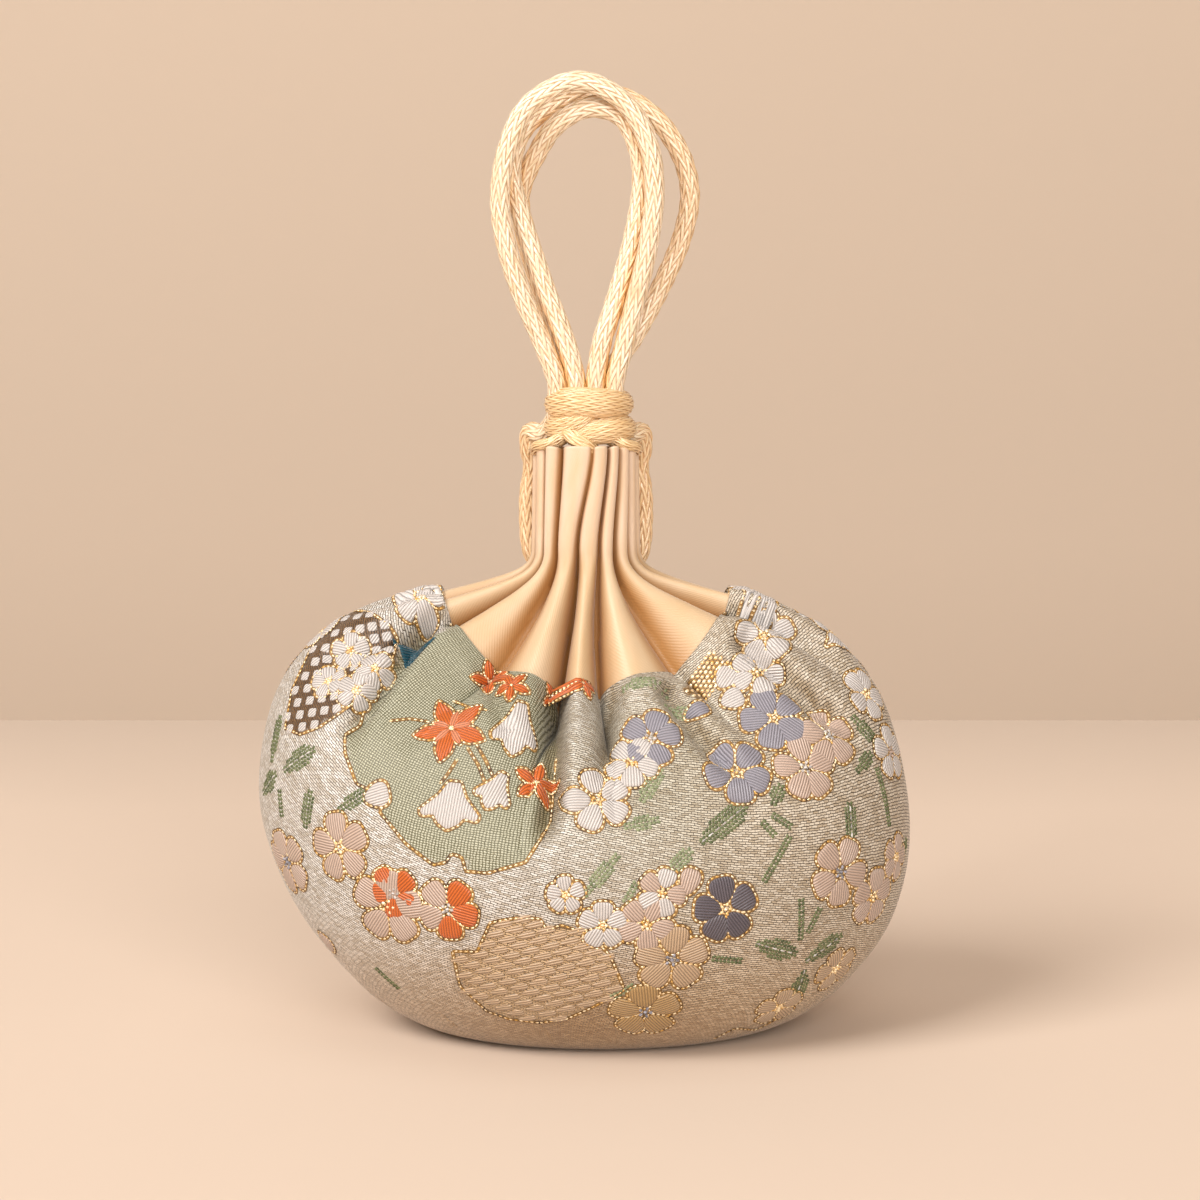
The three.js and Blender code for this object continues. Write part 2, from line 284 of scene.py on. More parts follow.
def cord_material(name, low, high):
    """Glossy silk strands with a painted highlight on top and painted shade in the gaps between them, with
    filaments along each strand.
    """
    material, shader = new_material(
        name, high, roughness=0.25, Specular_IOR_Level=1.0, Coat_Weight=0.6, Coat_Roughness=0.12)
    fibres = add_noise(material, scaled_uv(material, 0.25, 7), scale=1.7, detail=3.0)["Fac"]
    axes = add_node(material, "ShaderNodeSeparateXYZ", [("Vector", scaled_uv(material))])
    # Across each strand, painted shade at its edges gives way to a painted highlight on its crest
    top = calculated(material, "FRACT", axes.outputs["Y"])
    strand = two_tones(material, top, (0.2, linear(low)), (0.47, linear(high)))
    filament = two_tones(material, fibres, (0.34, linear("dfcfb2")), (0.6, linear("ffffff")))
    # The tint multiplies in painted shade where cords face or lie behind others
    silk = multiplied(material, multiplied(material, strand, filament), tint_of(material)["Color"])
    join(material, silk, shader.inputs["Base Color"])
    add_bump(material, shader, fibres, distance=0.1)
    return material


def satin_material():
    """Cream satin with a fine twill line, toned by the painted shade of its folds."""
    material, shader = new_material(
        "cream_satin", "f6dfbe", roughness=0.4, Sheen_Weight=0.25, Sheen_Roughness=0.35)
    twill = add_bands(material, scaled_uv(material), TWILL_PITCH, "DIAGONAL", distortion=0.4, detail=1.0)
    cloud = add_noise(material, scaled_uv(material, 0.25, 0.12), scale=1.0)["Fac"]
    tone = two_tones(material, cloud, (0.3, linear("d8bf9b")), (0.7, linear("deccb2")))
    join(material, multiplied(material, tone, tint_of(material)["Color"]), shader.inputs["Base Color"])
    add_bump(material, shader, twill, distance=0.01)
    return material


def weft_grains(material, place):
    """Slanting rows of long grains with brown gaps between them."""
    slanted = add_node(material, "ShaderNodeMapping", [
        ("Vector", place), ("Rotation", (0, 0, math.radians(GRAIN_SLANT))),
    ])
    stretched = add_node(material, "ShaderNodeMapping", [
        ("Vector", slanted.outputs["Vector"]), ("Scale", (GRAIN_STRETCH, 1, 1)),
    ])
    return add_node(material, "ShaderNodeTexBrick", [
        ("Vector", stretched.outputs["Vector"]), ("Scale", 1.0),
        ("Brick Width", GRAIN_LENGTH * GRAIN_STRETCH), ("Row Height", GRAIN_HEIGHT),
        ("Mortar Size", GRAIN_GAP), ("Mortar Smooth", 0.6), ("Color1", linear("fffdfa")),
        ("Color2", linear("cfc4b4")), ("Mortar", linear("4a3a28")),
    ]).outputs


def brocade_material():
    """Rows of silver weft grains over a brown warp, or a plain weave where the tint is opaque."""
    material, shader = new_material(
        "brocade_ground", GROUND_COLOR, roughness=0.4, Sheen_Weight=0.2, Sheen_Roughness=0.4)
    place = scaled_uv(material)
    wander = add_noise(material, place, scale=1.6, detail=3.0)["Color"]
    shifted = add_node(material, "ShaderNodeVectorMath", [
        (0, wander), (1, (WEAVE_WANDER,) * 3), (2, place),
    ], operation="MULTIPLY_ADD").outputs["Vector"]
    grains = weft_grains(material, shifted)
    raised = calculated(material, "SUBTRACT", 1.0, grains["Fac"])
    bands = [add_bands(material, shifted, PLAIN_PITCH, direction) for direction in ("Y", "X")]
    plain = calculated(material, "MULTIPLY", *bands)
    plain_tone = two_tones(material, plain, (0.02, linear("777460")), (0.4, linear("ffffff")))
    tint = tint_of(material)
    woven = mixed(material, tint["Alpha"], grains["Color"], plain_tone)
    # The tint's colour holds the ground's fields and the painted shade of its creases
    join(material, multiplied(material, woven, tint["Color"]), shader.inputs["Base Color"])
    height = add_node(material, "ShaderNodeMix", [("Factor", tint["Alpha"]), (2, raised), (3, plain)])
    add_bump(material, shader, height.outputs[0], distance=0.06)
    return material


# Meshes

def new_object(name, data):
    made = bpy.data.objects.new(name, data)
    bpy.context.scene.collection.objects.link(made)
    return made


def new_mesh(name, points, faces):
    """New object with a mesh from points in metres."""
    mesh = bpy.data.meshes.new(name)
    mesh.from_pydata(points.tolist(), [], faces)
    return new_object(name, mesh)


def add_piece(name, points, faces, material, uvs, lap=None):
    """Smooth mesh from millimetre points, riding on the pouch. UVs are per point and may wrap by one lap."""
    piece = new_mesh(name, points * MM, faces)
    mesh = piece.data
    mesh.materials.append(material)
    mesh.polygons.foreach_set("use_smooth", [True] * len(mesh.polygons))
    corners = np.empty(len(mesh.loops), dtype=np.int32)
    mesh.loops.foreach_get("vertex_index", corners)
    spread = uvs[corners]
    if lap:
        quads = spread[:, 0].reshape(-1, 4)
        behind = quads.max(axis=1, keepdims=True) - quads > lap / 2
        spread[:, 0] += lap * behind.ravel()
    mesh.uv_layers.new(name="cloth").data.foreach_set("uv", spread.ravel())
    mesh.update()
    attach(piece, "root")
    return piece


def paint(piece, colors):
    """Tint of each point, which holds painted shade on most pieces, with a fourth value where the cloth
    changes its weave.
    """
    if colors.shape[-1] == 3:
        colors = np.insert(colors, 3, 1, axis=1)
    tint = piece.data.color_attributes.new("tint", "FLOAT_COLOR", "POINT")
    tint.data.foreach_set("color", colors.ravel())


def grid_faces(rows, columns, closed=True):
    row = np.arange(rows - 1)[:, None] * columns
    column = np.arange(columns if closed else columns - 1)[None, :]
    following = (column + 1) % columns
    corners = [row + column, row + following, row + columns + following, row + columns + column]
    return np.stack(corners, axis=-1).reshape(-1, 4).tolist()


def uv_grid(along, up):
    """UVs of a grid of points from values that spread over its rows and columns."""
    return np.stack(np.broadcast_arrays(along, up), axis=-1).reshape(-1, 2)


class Bundle:
    """Points, faces and UVs of many strands or stitches that make one piece."""

    def __init__(self):
        self.points = []
        self.faces = []
        self.uvs = []
        self.count = 0

    def add(self, points, blocks, uvs):
        """Adds points with blocks of faces, leaving out what missed the cloth."""
        kept = ~np.isnan(points[:, 0])
        place = np.cumsum(kept) - 1 + self.count
        for block in blocks:
            block = np.asarray(block)
            self.faces += place[block[kept[block].all(axis=1)]].tolist()
        self.points.append(points[kept])
        self.uvs.append(uvs[kept])
        self.count += int(kept.sum())

    def piece(self, name, material, slot):
        return add_piece(name, np.vstack(self.points), self.faces, material, np.vstack(self.uvs))


# Stage, in metres: places from front to back with heights, and where painted shade starts to darken the
# floor towards its far end
STAGE_REACH = 5
FLOOR_END = 0.188
FLOOR_DIMS = 0.115
FAR_PAINTED_SHADE = 0.13
WALL_PLACE = 0.8
WALL_FOOT = -0.6
FLOOR_COLOR = "d7c6b7"
WALL_COLOR = "dccab8"
# Lights, in metres and watts: place, size and power
LIGHTS = dict(
    key=((-0.95, -0.85, 1.1), 0.8, 26),
    fill=((0.3, -1.35, 0.55), 0.9, 17),
    top=((0, -0.1, 1.1), 0.8, 1.8),
)
LIGHT_AIM = (0, 0, 0.04)
LIGHT_COLOR = "fffaf4"
WORLD_COLOR = "f9e4cd"
WORLD_STRENGTH = 0.27


def camera_place():
    """Where the camera stands, in millimetres."""
    tilt = math.radians(CAMERA_ELEVATION)
    return np.array(CAMERA_TARGET) + CAMERA_DISTANCE * np.array((0, -math.cos(tilt), math.sin(tilt)))


def add_camera():
    data = bpy.data.cameras.new("camera")
    data.lens = CAMERA_LENS
    data.clip_start = CAMERA_CLIP * MM
    camera = new_object("camera", data)
    camera.location = camera_place() * MM
    camera.rotation_euler = (math.radians(90 - CAMERA_ELEVATION), 0, 0)
    bpy.context.scene.camera = camera


def add_light(name, place, size, power):
    data = bpy.data.lights.new(name, "AREA")
    data.size = size
    data.energy = power
    data.color = linear(LIGHT_COLOR)[:3]
    light = new_object(name, data)
    light.location = place
    light.rotation_euler = (Vector(LIGHT_AIM) - Vector(place)).to_track_quat("-Z", "Y").to_euler()


def add_lights():
    for name, (place, size, power) in LIGHTS.items():
        add_light(name, place, size, power)
    world = bpy.data.worlds.new("studio")
    world.use_nodes = True
    background = world.node_tree.nodes["Background"]
    background.inputs["Color"].default_value = linear(WORLD_COLOR)
    background.inputs["Strength"].default_value = WORLD_STRENGTH
    bpy.context.scene.world = world
    bpy.context.scene.view_settings.view_transform = "Standard"


def add_stage():
    """Pale floor with painted shade that darkens it towards its far end, and a wall far behind it."""
    floor = np.array(linear(FLOOR_COLOR))
    shaded_far_floor = floor * (1 - FAR_PAINTED_SHADE)
    wall = np.array(linear(WALL_COLOR))
    profile = [
        (-STAGE_REACH, 0, floor), (FLOOR_DIMS, 0, floor), (FLOOR_END, 0, shaded_far_floor),
        (FLOOR_END, WALL_FOOT, wall), (WALL_PLACE, WALL_FOOT, wall), (WALL_PLACE, STAGE_REACH, wall),
    ]
    points = np.array([(x, y, z) for y, z, _ in profile for x in (-STAGE_REACH, STAGE_REACH)])
    backdrop = new_mesh("backdrop", points, grid_faces(len(profile), 2, closed=False))
    paint(backdrop, np.repeat([shade for _, _, shade in profile], 2, axis=0))
    material, shader = new_material("backdrop_paper", FLOOR_COLOR, roughness=0.9, Specular_IOR_Level=0.1)
    join(material, tint_of(material)["Color"], shader.inputs["Base Color"])
    backdrop.data.materials.append(material)


# Cords

def blend(start, end, first, last, t):
    return mix(start, end, (t - first) / (last - first))


def spline(points, step):
    """Centripetal Catmull-Rom curve through the points, at even steps."""
    points = np.asarray(points, dtype=float)
    points = np.vstack([2 * points[0] - points[1], points, 2 * points[-1] - points[-2]])
    dense = []
    for a, b, c, d in zip(points, points[1:], points[2:], points[3:]):
        gaps = [np.linalg.norm(q - p) ** 0.5 for p, q in ((a, b), (b, c), (c, d))]
        t0, t1, t2, t3 = np.cumsum([0] + gaps)
        t = np.linspace(t1, t2, SPLINE_SAMPLES, endpoint=False)[:, None]
        bc = blend(b, c, t1, t2, t)
        before = blend(blend(a, b, t0, t1, t), bc, t0, t2, t)
        after = blend(bc, blend(c, d, t2, t3, t), t1, t3, t)
        dense.append(blend(before, after, t1, t2, t))
    dense = np.vstack(dense + [points[-2:-1]])
    lengths = path_lengths(dense)
    count = max(2, round(lengths[-1] / step)) + 1
    return read_along(dense, lengths, np.linspace(0, lengths[-1], count))


def side_frames(path, outwards=None):
    """Directions across a path: turned as little as possible, or kept towards the given outward side."""
    tangent = unit(np.gradient(path, axis=0))
    if outwards is None:
        across = np.zeros_like(path)
        across[0] = unit(np.cross(tangent[0], FIRST_SIDE))
        for i in range(1, len(path)):
            across[i] = unit(across[i - 1] - tangent[i] * np.dot(across[i - 1], tangent[i]))
    else:
        along = np.sum(outwards * tangent, axis=1, keepdims=True)
        across = unit(outwards - tangent * along)
    return across, np.cross(tangent, across)


def sweep(centre, thick, broad, sides):
    """Tube along a centre line, from how far its section reaches each way."""
    around = np.linspace(0, 2 * math.pi, sides, endpoint=False)[None, :, None]
    rings = np.cos(around) * thick[:, None, :] + np.sin(around) * broad[:, None, :]
    return (centre[:, None, :] + rings).reshape(-1, 3), grid_faces(len(centre), sides)


def braid(bundle, path, outwards=None, flat=1.0, wide=1.0, lay=BRAID_LAY, strands=BRAID_STRANDS):
    """Adds a braid of two over two along a path, round or flattened: its core and its strands."""
    across, beside = side_frames(path, outwards)
    along = path_lengths(path)
    turn_rate = 2 * math.pi / lay
    wave = strands * turn_rate / 2
    half_width = STRAND_OVERLAP * math.pi * BRAID_RADIUS / strands
    core, faces = sweep(path, CORE_RADIUS * flat * across, CORE_RADIUS * wide * beside, CORE_SIDES)
    bundle.add(core, [faces], np.zeros((len(core), 2)))
    spread = np.abs(np.arange(STRAND_SIDES) / STRAND_SIDES - 0.5)
    for strand in range(2 * strands):
        way = 1 if strand < strands else -1
        angle = (2 * math.pi * strand / strands + way * turn_rate * along)[:, None]
        over = way * np.cos(wave * along + math.pi * strand - way * math.pi / 4)[:, None]
        outward = flat * np.cos(angle) * across + wide * np.sin(angle) * beside
        centre = path + (BRAID_RADIUS + BRAID_RISE * over) * outward
        outward = unit(outward)
        sideways = unit(np.cross(np.gradient(centre, axis=0), outward))
        points, faces = sweep(
            centre, STRAND_THICKNESS / 2 * outward, half_width * wide * sideways, STRAND_SIDES)
        bundle.add(points, [faces], uv_grid(along[:, None], spread + strand))


def loop_points(points):
    return [(x, lane * LANE, LOOP_START + z) for x, lane, z in points]


def with_tails(points):
    """Loop points with both ends carried on down into the knot."""
    first, last = points[0], points[-1]
    return [(first[0], first[1], first[2] - LOOP_TAIL)] + points + [(last[0], last[1], last[2] - LOOP_TAIL)]


def cord_painted_shade(points, others):
    """Painted shade, golden where a cord faces other cords or lies behind them, and white elsewhere."""
    tree = KDTree(len(others))
    for i, point in enumerate(others):
        tree.insert(point, i)
    tree.balance()
    gaps = np.array([tree.find(point)[2] for point in points])
    facing = smooth((CORD_SHADE_FAR - gaps) / (CORD_SHADE_FAR - CORD_SHADE_NEAR))
    behind = CORD_SHADE_BEHIND * smooth(points[:, 1] / LANE)
    return mix(np.ones(3), np.array(CORD_SHADE_TINT), np.maximum(facing, behind)[:, None])


def add_cord(name, path, others, nodes, material):
    bundle = Bundle()
    braid(bundle, path)
    piece = bundle.piece(name, material, "cord")
    paint(piece, cord_painted_shade(np.vstack(bundle.points), others))
    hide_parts(*nodes)


def add_cords(material, knot):
    right = [CHANNEL_END] + DRAW_CORD + KNOT_PASS
    left = [(-x, y, z) for x, y, z in right]
    cords = [
        ("draw_cord_and_front_loop", left + loop_points(FRONT_LOOP) + right[::-1],
         ["left_draw_cord", "front_loop", "right_draw_cord"], [knot]),
        ("inner_loop_cord", with_tails(loop_points(INNER_LOOP)), ["inner_loop"], []),
        ("back_loop_cord", with_tails(loop_points(BACK_LOOP)), ["back_loop"], []),
    ]
    paths = [spline(route, BRAID_STEP) for _, route, _, _ in cords]
    for i, (name, _, nodes, pieces) in enumerate(cords):
        others = np.vstack(paths[:i] + paths[i + 1:])
        add_cord(name, paths[i], others, nodes, material)


# Bands of the knot: angle from +X round +Z, share of the knot's reach, height, width
KNOT_MIDDLE = 0.35
KNOT_REACH = (3.3, 2.4)
KNOT_LAY = 46
KNOT_STRANDS = 32
KNOT_FLATNESS = 1.45
KNOT_BANDS = [
    [
        (55, 0.7, 67.5, 1), (90, 0.9, 67.5, 1.3), (140, 0.98, 67.6, 1.5), (180, 1, 67.4, 1.6),
        (215, 1.06, 67.5, 1.65), (245, 1.12, 67.7, 1.65), (270, 1.12, 67.7, 1.6), (300, 1.08, 67.6, 1.55),
        (330, 1.02, 67.5, 1.5), (360, 1, 67.4, 1.45), (400, 1, 67.4, 1.45), (450, 1, 67.5, 1.4),
        (490, 0.8, 67.5, 1.1),
    ],
    [
        (55, 0.7, 64.7, 1), (90, 0.9, 64.7, 1.2), (135, 0.98, 64.8, 1.3), (180, 1.02, 64.9, 1.4),
        (215, 1.06, 65, 1.4), (240, 1.02, 65.4, 1.3), (258, 0.9, 66, 1.15), (275, 0.6, 66.8, 0.9),
    ],
    [
        (232, 0.5, 63.9, 0.6), (250, 0.85, 64.1, 0.9), (272, 1.02, 64.5, 1.25), (300, 1.1, 64.8, 1.45),
        (330, 1.1, 64.9, 1.5), (360, 1.08, 64.8, 1.45), (400, 1.02, 64.7, 1.4), (450, 1, 64.7, 1.4),
        (490, 0.8, 64.7, 1.1),
    ],
]
# Strands that leave the knot and go down into the collar's mouth, with their widths
KNOT_STRANDS_DOWN = [
    [(-1.8, -2.3, 64.7, 0.7), (-1.1, -3.1, 64, 0.8), (0, -3.2, 63.3, 0.8), (0.9, -2.3, 62.5, 0.7)],
    [(-2.2, -2, 64, 0.5), (-3.6, -2.2, 63.4, 0.55), (-4.7, -1.6, 63.1, 0.55), (-5.1, -0.2, 62.4, 0.5)],
    [(2.4, -2, 63.9, 0.5), (3.8, -2.1, 63.3, 0.55), (4.8, -1.5, 63, 0.55), (5.1, -0.2, 62.4, 0.5)],
]


def knot_route(turns):
    return [(KNOT_MIDDLE + KNOT_REACH[0] * share * math.cos(math.radians(turn)),
             KNOT_REACH[1] * share * math.sin(math.radians(turn)), height, width)
            for turn, share, height, width in turns]


def add_knot(material):
    bands = [(knot_route(turns), KNOT_FLATNESS, KNOT_LAY, KNOT_STRANDS) for turns in KNOT_BANDS]
    bands += [(route, 1, BRAID_LAY, BRAID_STRANDS) for route in KNOT_STRANDS_DOWN]
    bundle = Bundle()
    for route, flatness, lay, strands in bands:
        path = spline(route, BRAID_STEP)
        outwards = unit(path[:, :3] * (1, 1, 0) + (0, 0, TINY))
        braid(bundle, path[:, :3], outwards, flatness, path[:, 3:], lay, strands)
    knot = bundle.piece("knot_turns", material, "cord")
    paint(knot, np.ones((bundle.count, 3)))
    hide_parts("knot")
    return knot


# Cloth

def bend(start, corner, end, fullness, share):
    a = (1 - share) ** 2
    b = 2 * fullness * share * (1 - share)
    c = share ** 2
    return [(a * s + b * k + c * e) / (a + b + c) for s, k, e in zip(start, corner, end)]


def outline(cut, level):
    """Distance from the axis and height of the smooth cloth, seen from the front or from the side."""
    belly = (cut["belly"], cut["belly_height"])
    seam = (cut["seam"], cut["seam_height"])
    heel = bend((cut["base"], 0), (cut["belly"], 0), belly, HEEL_FULLNESS, level)
    shoulder = bend(belly, (cut["belly"], cut["shoulder"]), seam, SHOULDER_FULLNESS, level - BELLY)
    skirt = bend(seam, (cut["neck"], NECK_HEIGHT), (cut["neck"], FRILL_START), NECK_FULLNESS, level - SEAM)
    frill = (mix(cut["neck"], cut["edge"], level - FRILL), mix(FRILL_START, FRILL_TOP, level - FRILL))
    stretch = [level < BELLY, level < SEAM, level < FRILL]
    return [np.select(stretch, parts[:3], parts[3]) for parts in zip(heel, shoulder, skirt, frill)]


def smooth_cloth(turn, level):
    """Cloth before it is gathered, with the filling settled a little towards +X."""
    angle = np.radians(turn)
    side_reach, side_height = outline(SIDE, level)
    front_reach, front_height = outline(FRONT, level)
    settled = np.where(level < SEAM, np.sin(np.pi * level / SEAM) ** 2, 0)
    shift = np.where(level < BELLY, BASE_SHIFT * (1 - level) ** 2, 0)
    height = mix(front_height, side_height, np.abs(np.sin(angle)) ** SIDE_SHARPNESS)
    return np.stack(np.broadcast_arrays(
        side_reach * np.sin(angle) + shift,
        -front_reach * np.cos(angle),
        height - BELLY_TILT * settled * np.sin(angle),
    ), axis=-1)


def cloth_normal(turn, level):
    probe = 0.01
    low = np.maximum(level - probe, 0)
    high = np.minimum(level + probe, EDGE)
    around = smooth_cloth(turn + np.degrees(probe), level) - smooth_cloth(turn - np.degrees(probe), level)
    return unit(np.cross(around, smooth_cloth(turn, high) - smooth_cloth(turn, low)))


def valley_turn(index, level):
    skirt = mix(SEAM_TURN[index], NECK_TURN[index], smooth(level - SEAM))
    frill = mix(NECK_TURN[index], FRILL_TURN[index], smooth(level - FRILL))
    return np.where(level <= FRILL, skirt, frill)


def valley_depth(index, level):
    body = DEEP[index] * smooth(1 - (SEAM - level) / RUN[index])
    skirt = mix(DEEP[index], NECK_PLEAT_DEPTH, level - SEAM)
    edge_depth = np.where(index == SOFT_VALLEY, SOFT_VALLEY_DEPTH, FRILL_PLEAT_DEPTH)
    frill = mix(NECK_PLEAT_DEPTH, edge_depth, level - FRILL)
    return np.select([level <= SEAM, level <= FRILL], [body, skirt], frill)


def cloth_columns(per_gather):
    """Gather number and share across it for each column, closer together near the valleys."""
    index = np.repeat(np.arange(len(GATHERS)), per_gather)
    step = np.tile(np.arange(per_gather), len(GATHERS)) / per_gather
    return index, (1 - np.cos(np.pi * step)) / 2


def column_turns(columns, level):
    """Turn of each column round the axis, from one valley to the next."""
    index, share = columns
    lap = np.where(index + 1 == len(GATHERS), 360, 0)
    after = (index + 1) % len(GATHERS)
    return mix(valley_turn(index, level), valley_turn(after, level) + lap, share)


def gathered_cloth(columns, levels):
    """Points of the gathered cloth, outward directions, and how high and how far up its fold each lies."""
    index, share = columns
    level = levels[:, None]
    turn = column_turns(columns, level)
    rising = share < CREST[index]
    climb = np.where(rising, share / CREST[index], (1 - share) / (1 - CREST[index]))
    floor = np.interp(level, FLOOR_LEVELS, FLOOR_SHARES)
    climb = np.clip((climb - floor) / (1 - floor), 0, 1)
    fullness = mix(FOLD_FULLNESS, PLEAT_FULLNESS, np.clip(level - SEAM, 0, 1))
    arch = (1 - (1 - climb) ** fullness) ** (1 / fullness)
    after = (index + 1) % len(GATHERS)
    depth = np.where(rising, valley_depth(index, level), valley_depth(after, level))
    normal = cloth_normal(turn, level)
    return smooth_cloth(turn, level) - normal * (depth * (1 - arch))[..., None], normal, arch, climb


def cloth_lengths(points):
    """Mean distance up the cloth of each row."""
    steps = np.linalg.norm(np.diff(points, axis=0), axis=2).mean(axis=1)
    return np.concatenate([[0], np.cumsum(steps)])


def add_cloth(name, rows, along, material):
    """Piece of cloth from rows of points that close round the pouch."""
    uvs = uv_grid(along, cloth_lengths(rows)[:, None])
    faces = grid_faces(len(rows), rows.shape[1])
    return add_piece(name, rows.reshape(-1, 3), faces, material, uvs, BELLY_GIRTH)


# Brocade body: rows and columns, and the part of the base that its innermost ring leaves open
BODY_COLUMNS_PER_GATHER = 24
HEEL_ROWS = 36
SHOULDER_ROWS = 74
BASE_RINGS = 8
BASE_MIDDLE = 0.02
BELLY_GIRTH = 184
# Puff of the cloth from this level to the seam, where it rolls over and is tucked in
SEAM_PUFF = 0.45
PUFF_LEVEL = 1.86
PUFF_SPAN = 0.1
ROLL_RISE = 0.2
ROLL_DEPTH = 0.15
TUCK_DEPTH = 0.3
# Lumps of the stuffing, which fade out towards the base
LUMP_SIZE = 11
LUMP_HEIGHT = 0.45
LUMP_SEED = 3.1
LUMP_FADE = 6


def lumps(points):
    places = [Vector(point) / LUMP_SIZE + Vector((LUMP_SEED, 0, 0)) for point in points.reshape(-1, 3)]
    return np.array([noise.noise(place) for place in places]).reshape(points.shape[:-1])


# Creases that run down from the collar, as seen from the front: depth, half width, then x and height
CREASES = [
    (2.4, 1.3, [(-15.9, 45.1), (-19.9, 39.9), (-24.1, 34.3), (-26.8, 30.0)]),
    (1.0, 1.2, [(-10.6, 38.6), (-9.2, 33.9), (-7.6, 29.0)]),
    (2.8, 1.6, [(-3.2, 36.6), (-3.4, 31.2), (-3.8, 24.7), (-5.2, 18.4)]),
    (1.4, 1.2, [(3.0, 36.6), (2.4, 32.3), (1.4, 25.0)]),
    (1.9, 1.4, [(8.8, 36.6), (11.1, 33.4), (13.8, 30.3), (17.6, 26.4)]),
    (2.2, 1.5, [(17.0, 42.1), (22.9, 36.6), (30.0, 31.0)]),
]
CREASE_STEP = 0.5
CREASE_FADE = 6
CREST_RISE = 0.85
SEAM_GRIP = 0.08
# Painted shade of the cloth at the bottom of a crease, and the depth at which it has that shade
CREASE_PAINTED_SHADE = (0.62, 0.54, 0.42)
CREASE_SHADE_DEPTH = 2


def front_view(points):
    """Where points are seen from the front, on the upright plane through the pouch's axis."""
    eye = camera_place()
    share = -eye[1] / (points[..., 1] - eye[1])
    return eye[[0, 2]] + (points[..., [0, 2]] - eye[[0, 2]]) * share[..., None]


def crease_depth(points):
    """How far the creases press the cloth in at points on the front half."""
    flat = front_view(points)
    depth = np.zeros(points.shape[:-1])
    for deep, half_width, path in CREASES:
        line = spline(path, CREASE_STEP)
        gaps = np.linalg.norm(flat[..., None, :] - line, axis=-1)
        nearest = gaps.argmin(axis=-1)
        fade = smooth((len(line) - nearest) * CREASE_STEP / CREASE_FADE)
        across = gaps.min(axis=-1) / half_width
        depth += deep * fade * (1 - CREST_RISE * across ** 2) * np.exp(-across ** 2)
    return depth


def pressed_in(points):
    """How far the creases press the cloth in, on the front and in the same way on the back."""
    pressed = np.zeros(points.shape[:-1])
    for side in (1, -1):
        facing = points[..., 1] * side < 0
        pressed[facing] = crease_depth(points[facing] * (side, side, 1))
    return pressed


# Settling of the stuffed cloth, simulated ten times its size on every few rows and columns
SETTLE_SCALE = 10
SETTLE_STRIDE = 3
SETTLE_PINNED_ROWS = 2
SETTLE_FRAMES = 16
SETTLE_PRESSURE = 3
SETTLE_SLACK = -0.04
SETTLE_CAP = 1.2


def pressed_out(start):
    """Where pressure moves a grid of loose cloth that is held at its first and last rows."""
    piece = new_mesh("settling", start.reshape(-1, 3) * MM * SETTLE_SCALE, grid_faces(*start.shape[:2]))
    count = len(piece.data.vertices)
    held = SETTLE_PINNED_ROWS * start.shape[1]
    pins = piece.vertex_groups.new(name="pins")
    pins.add(list(range(held)) + list(range(count - held, count)), 1, "REPLACE")
    cloth = piece.modifiers.new("cloth", "CLOTH")
    cloth.point_cache.frame_end = SETTLE_FRAMES
    cloth.settings.vertex_group_mass = "pins"
    cloth.settings.use_pressure = True
    cloth.settings.uniform_pressure_force = SETTLE_PRESSURE
    cloth.settings.shrink_min = SETTLE_SLACK
    cloth.settings.effector_weights.gravity = 0
    scene = bpy.context.scene
    for frame_number in range(1, SETTLE_FRAMES + 1):
        scene.frame_set(frame_number)
    settled = piece.evaluated_get(bpy.context.evaluated_depsgraph_get()).data
    end = np.empty(3 * len(settled.vertices))
    settled.vertices.foreach_get("co", end)
    scene.frame_set(1)
    bpy.data.objects.remove(piece)
    return end.reshape(start.shape) / MM / SETTLE_SCALE


def settling(points):
    """How far the pressure of the stuffing moves each point of the cloth."""
    count, columns = points.shape[:2]
    rows = np.append(np.arange(0, count - 1, SETTLE_STRIDE), count - 1)
    start = points[rows][:, ::SETTLE_STRIDE]
    move = pressed_out(start) - start
    move *= np.minimum(1, SETTLE_CAP / np.maximum(np.linalg.norm(move, axis=-1, keepdims=True), TINY))
    move = np.concatenate([move, move[:, :1]], axis=1)
    move = read_between(move, rows, np.arange(count))
    places = np.append(np.arange(0, columns, SETTLE_STRIDE), columns)
    return read_between(move.swapaxes(0, 1), places, np.arange(columns)).swapaxes(0, 1)


def read_between(values, places, wanted):
    """Values given at some places along the first axis, read off at others."""
    after = np.clip(np.searchsorted(places, wanted, side="right"), 1, len(places) - 1)
    share = smooth((wanted - places[after - 1]) / (places[after] - places[after - 1]))
    return mix(values[after - 1], values[after], share[:, None, None])


def body_points(columns):
    """Points of the stuffed cloth with its lumps, its puff and its creases, and the directions out of it."""
    levels = np.concatenate([
        np.linspace(0, BELLY, HEEL_ROWS, endpoint=False), np.linspace(BELLY, SEAM, SHOULDER_ROWS),
    ])
    points, normal, _, _ = gathered_cloth(columns, levels)
    above_base = smooth(points[..., 2] / LUMP_FADE)
    proud = LUMP_HEIGHT * lumps(points) * above_base
    proud = proud + SEAM_PUFF * smooth((levels[:, None] - PUFF_LEVEL) / PUFF_SPAN)
    points = points + normal * proud[..., None]
    move = settling(points)
    swelling = np.sum(move * normal, axis=-1, keepdims=True).mean(axis=1, keepdims=True)
    points = points + (move - normal * swelling) * above_base[..., None]
    pressed = pressed_in(points) * smooth((SEAM - levels[:, None]) / SEAM_GRIP)
    return points - normal * pressed[..., None], normal


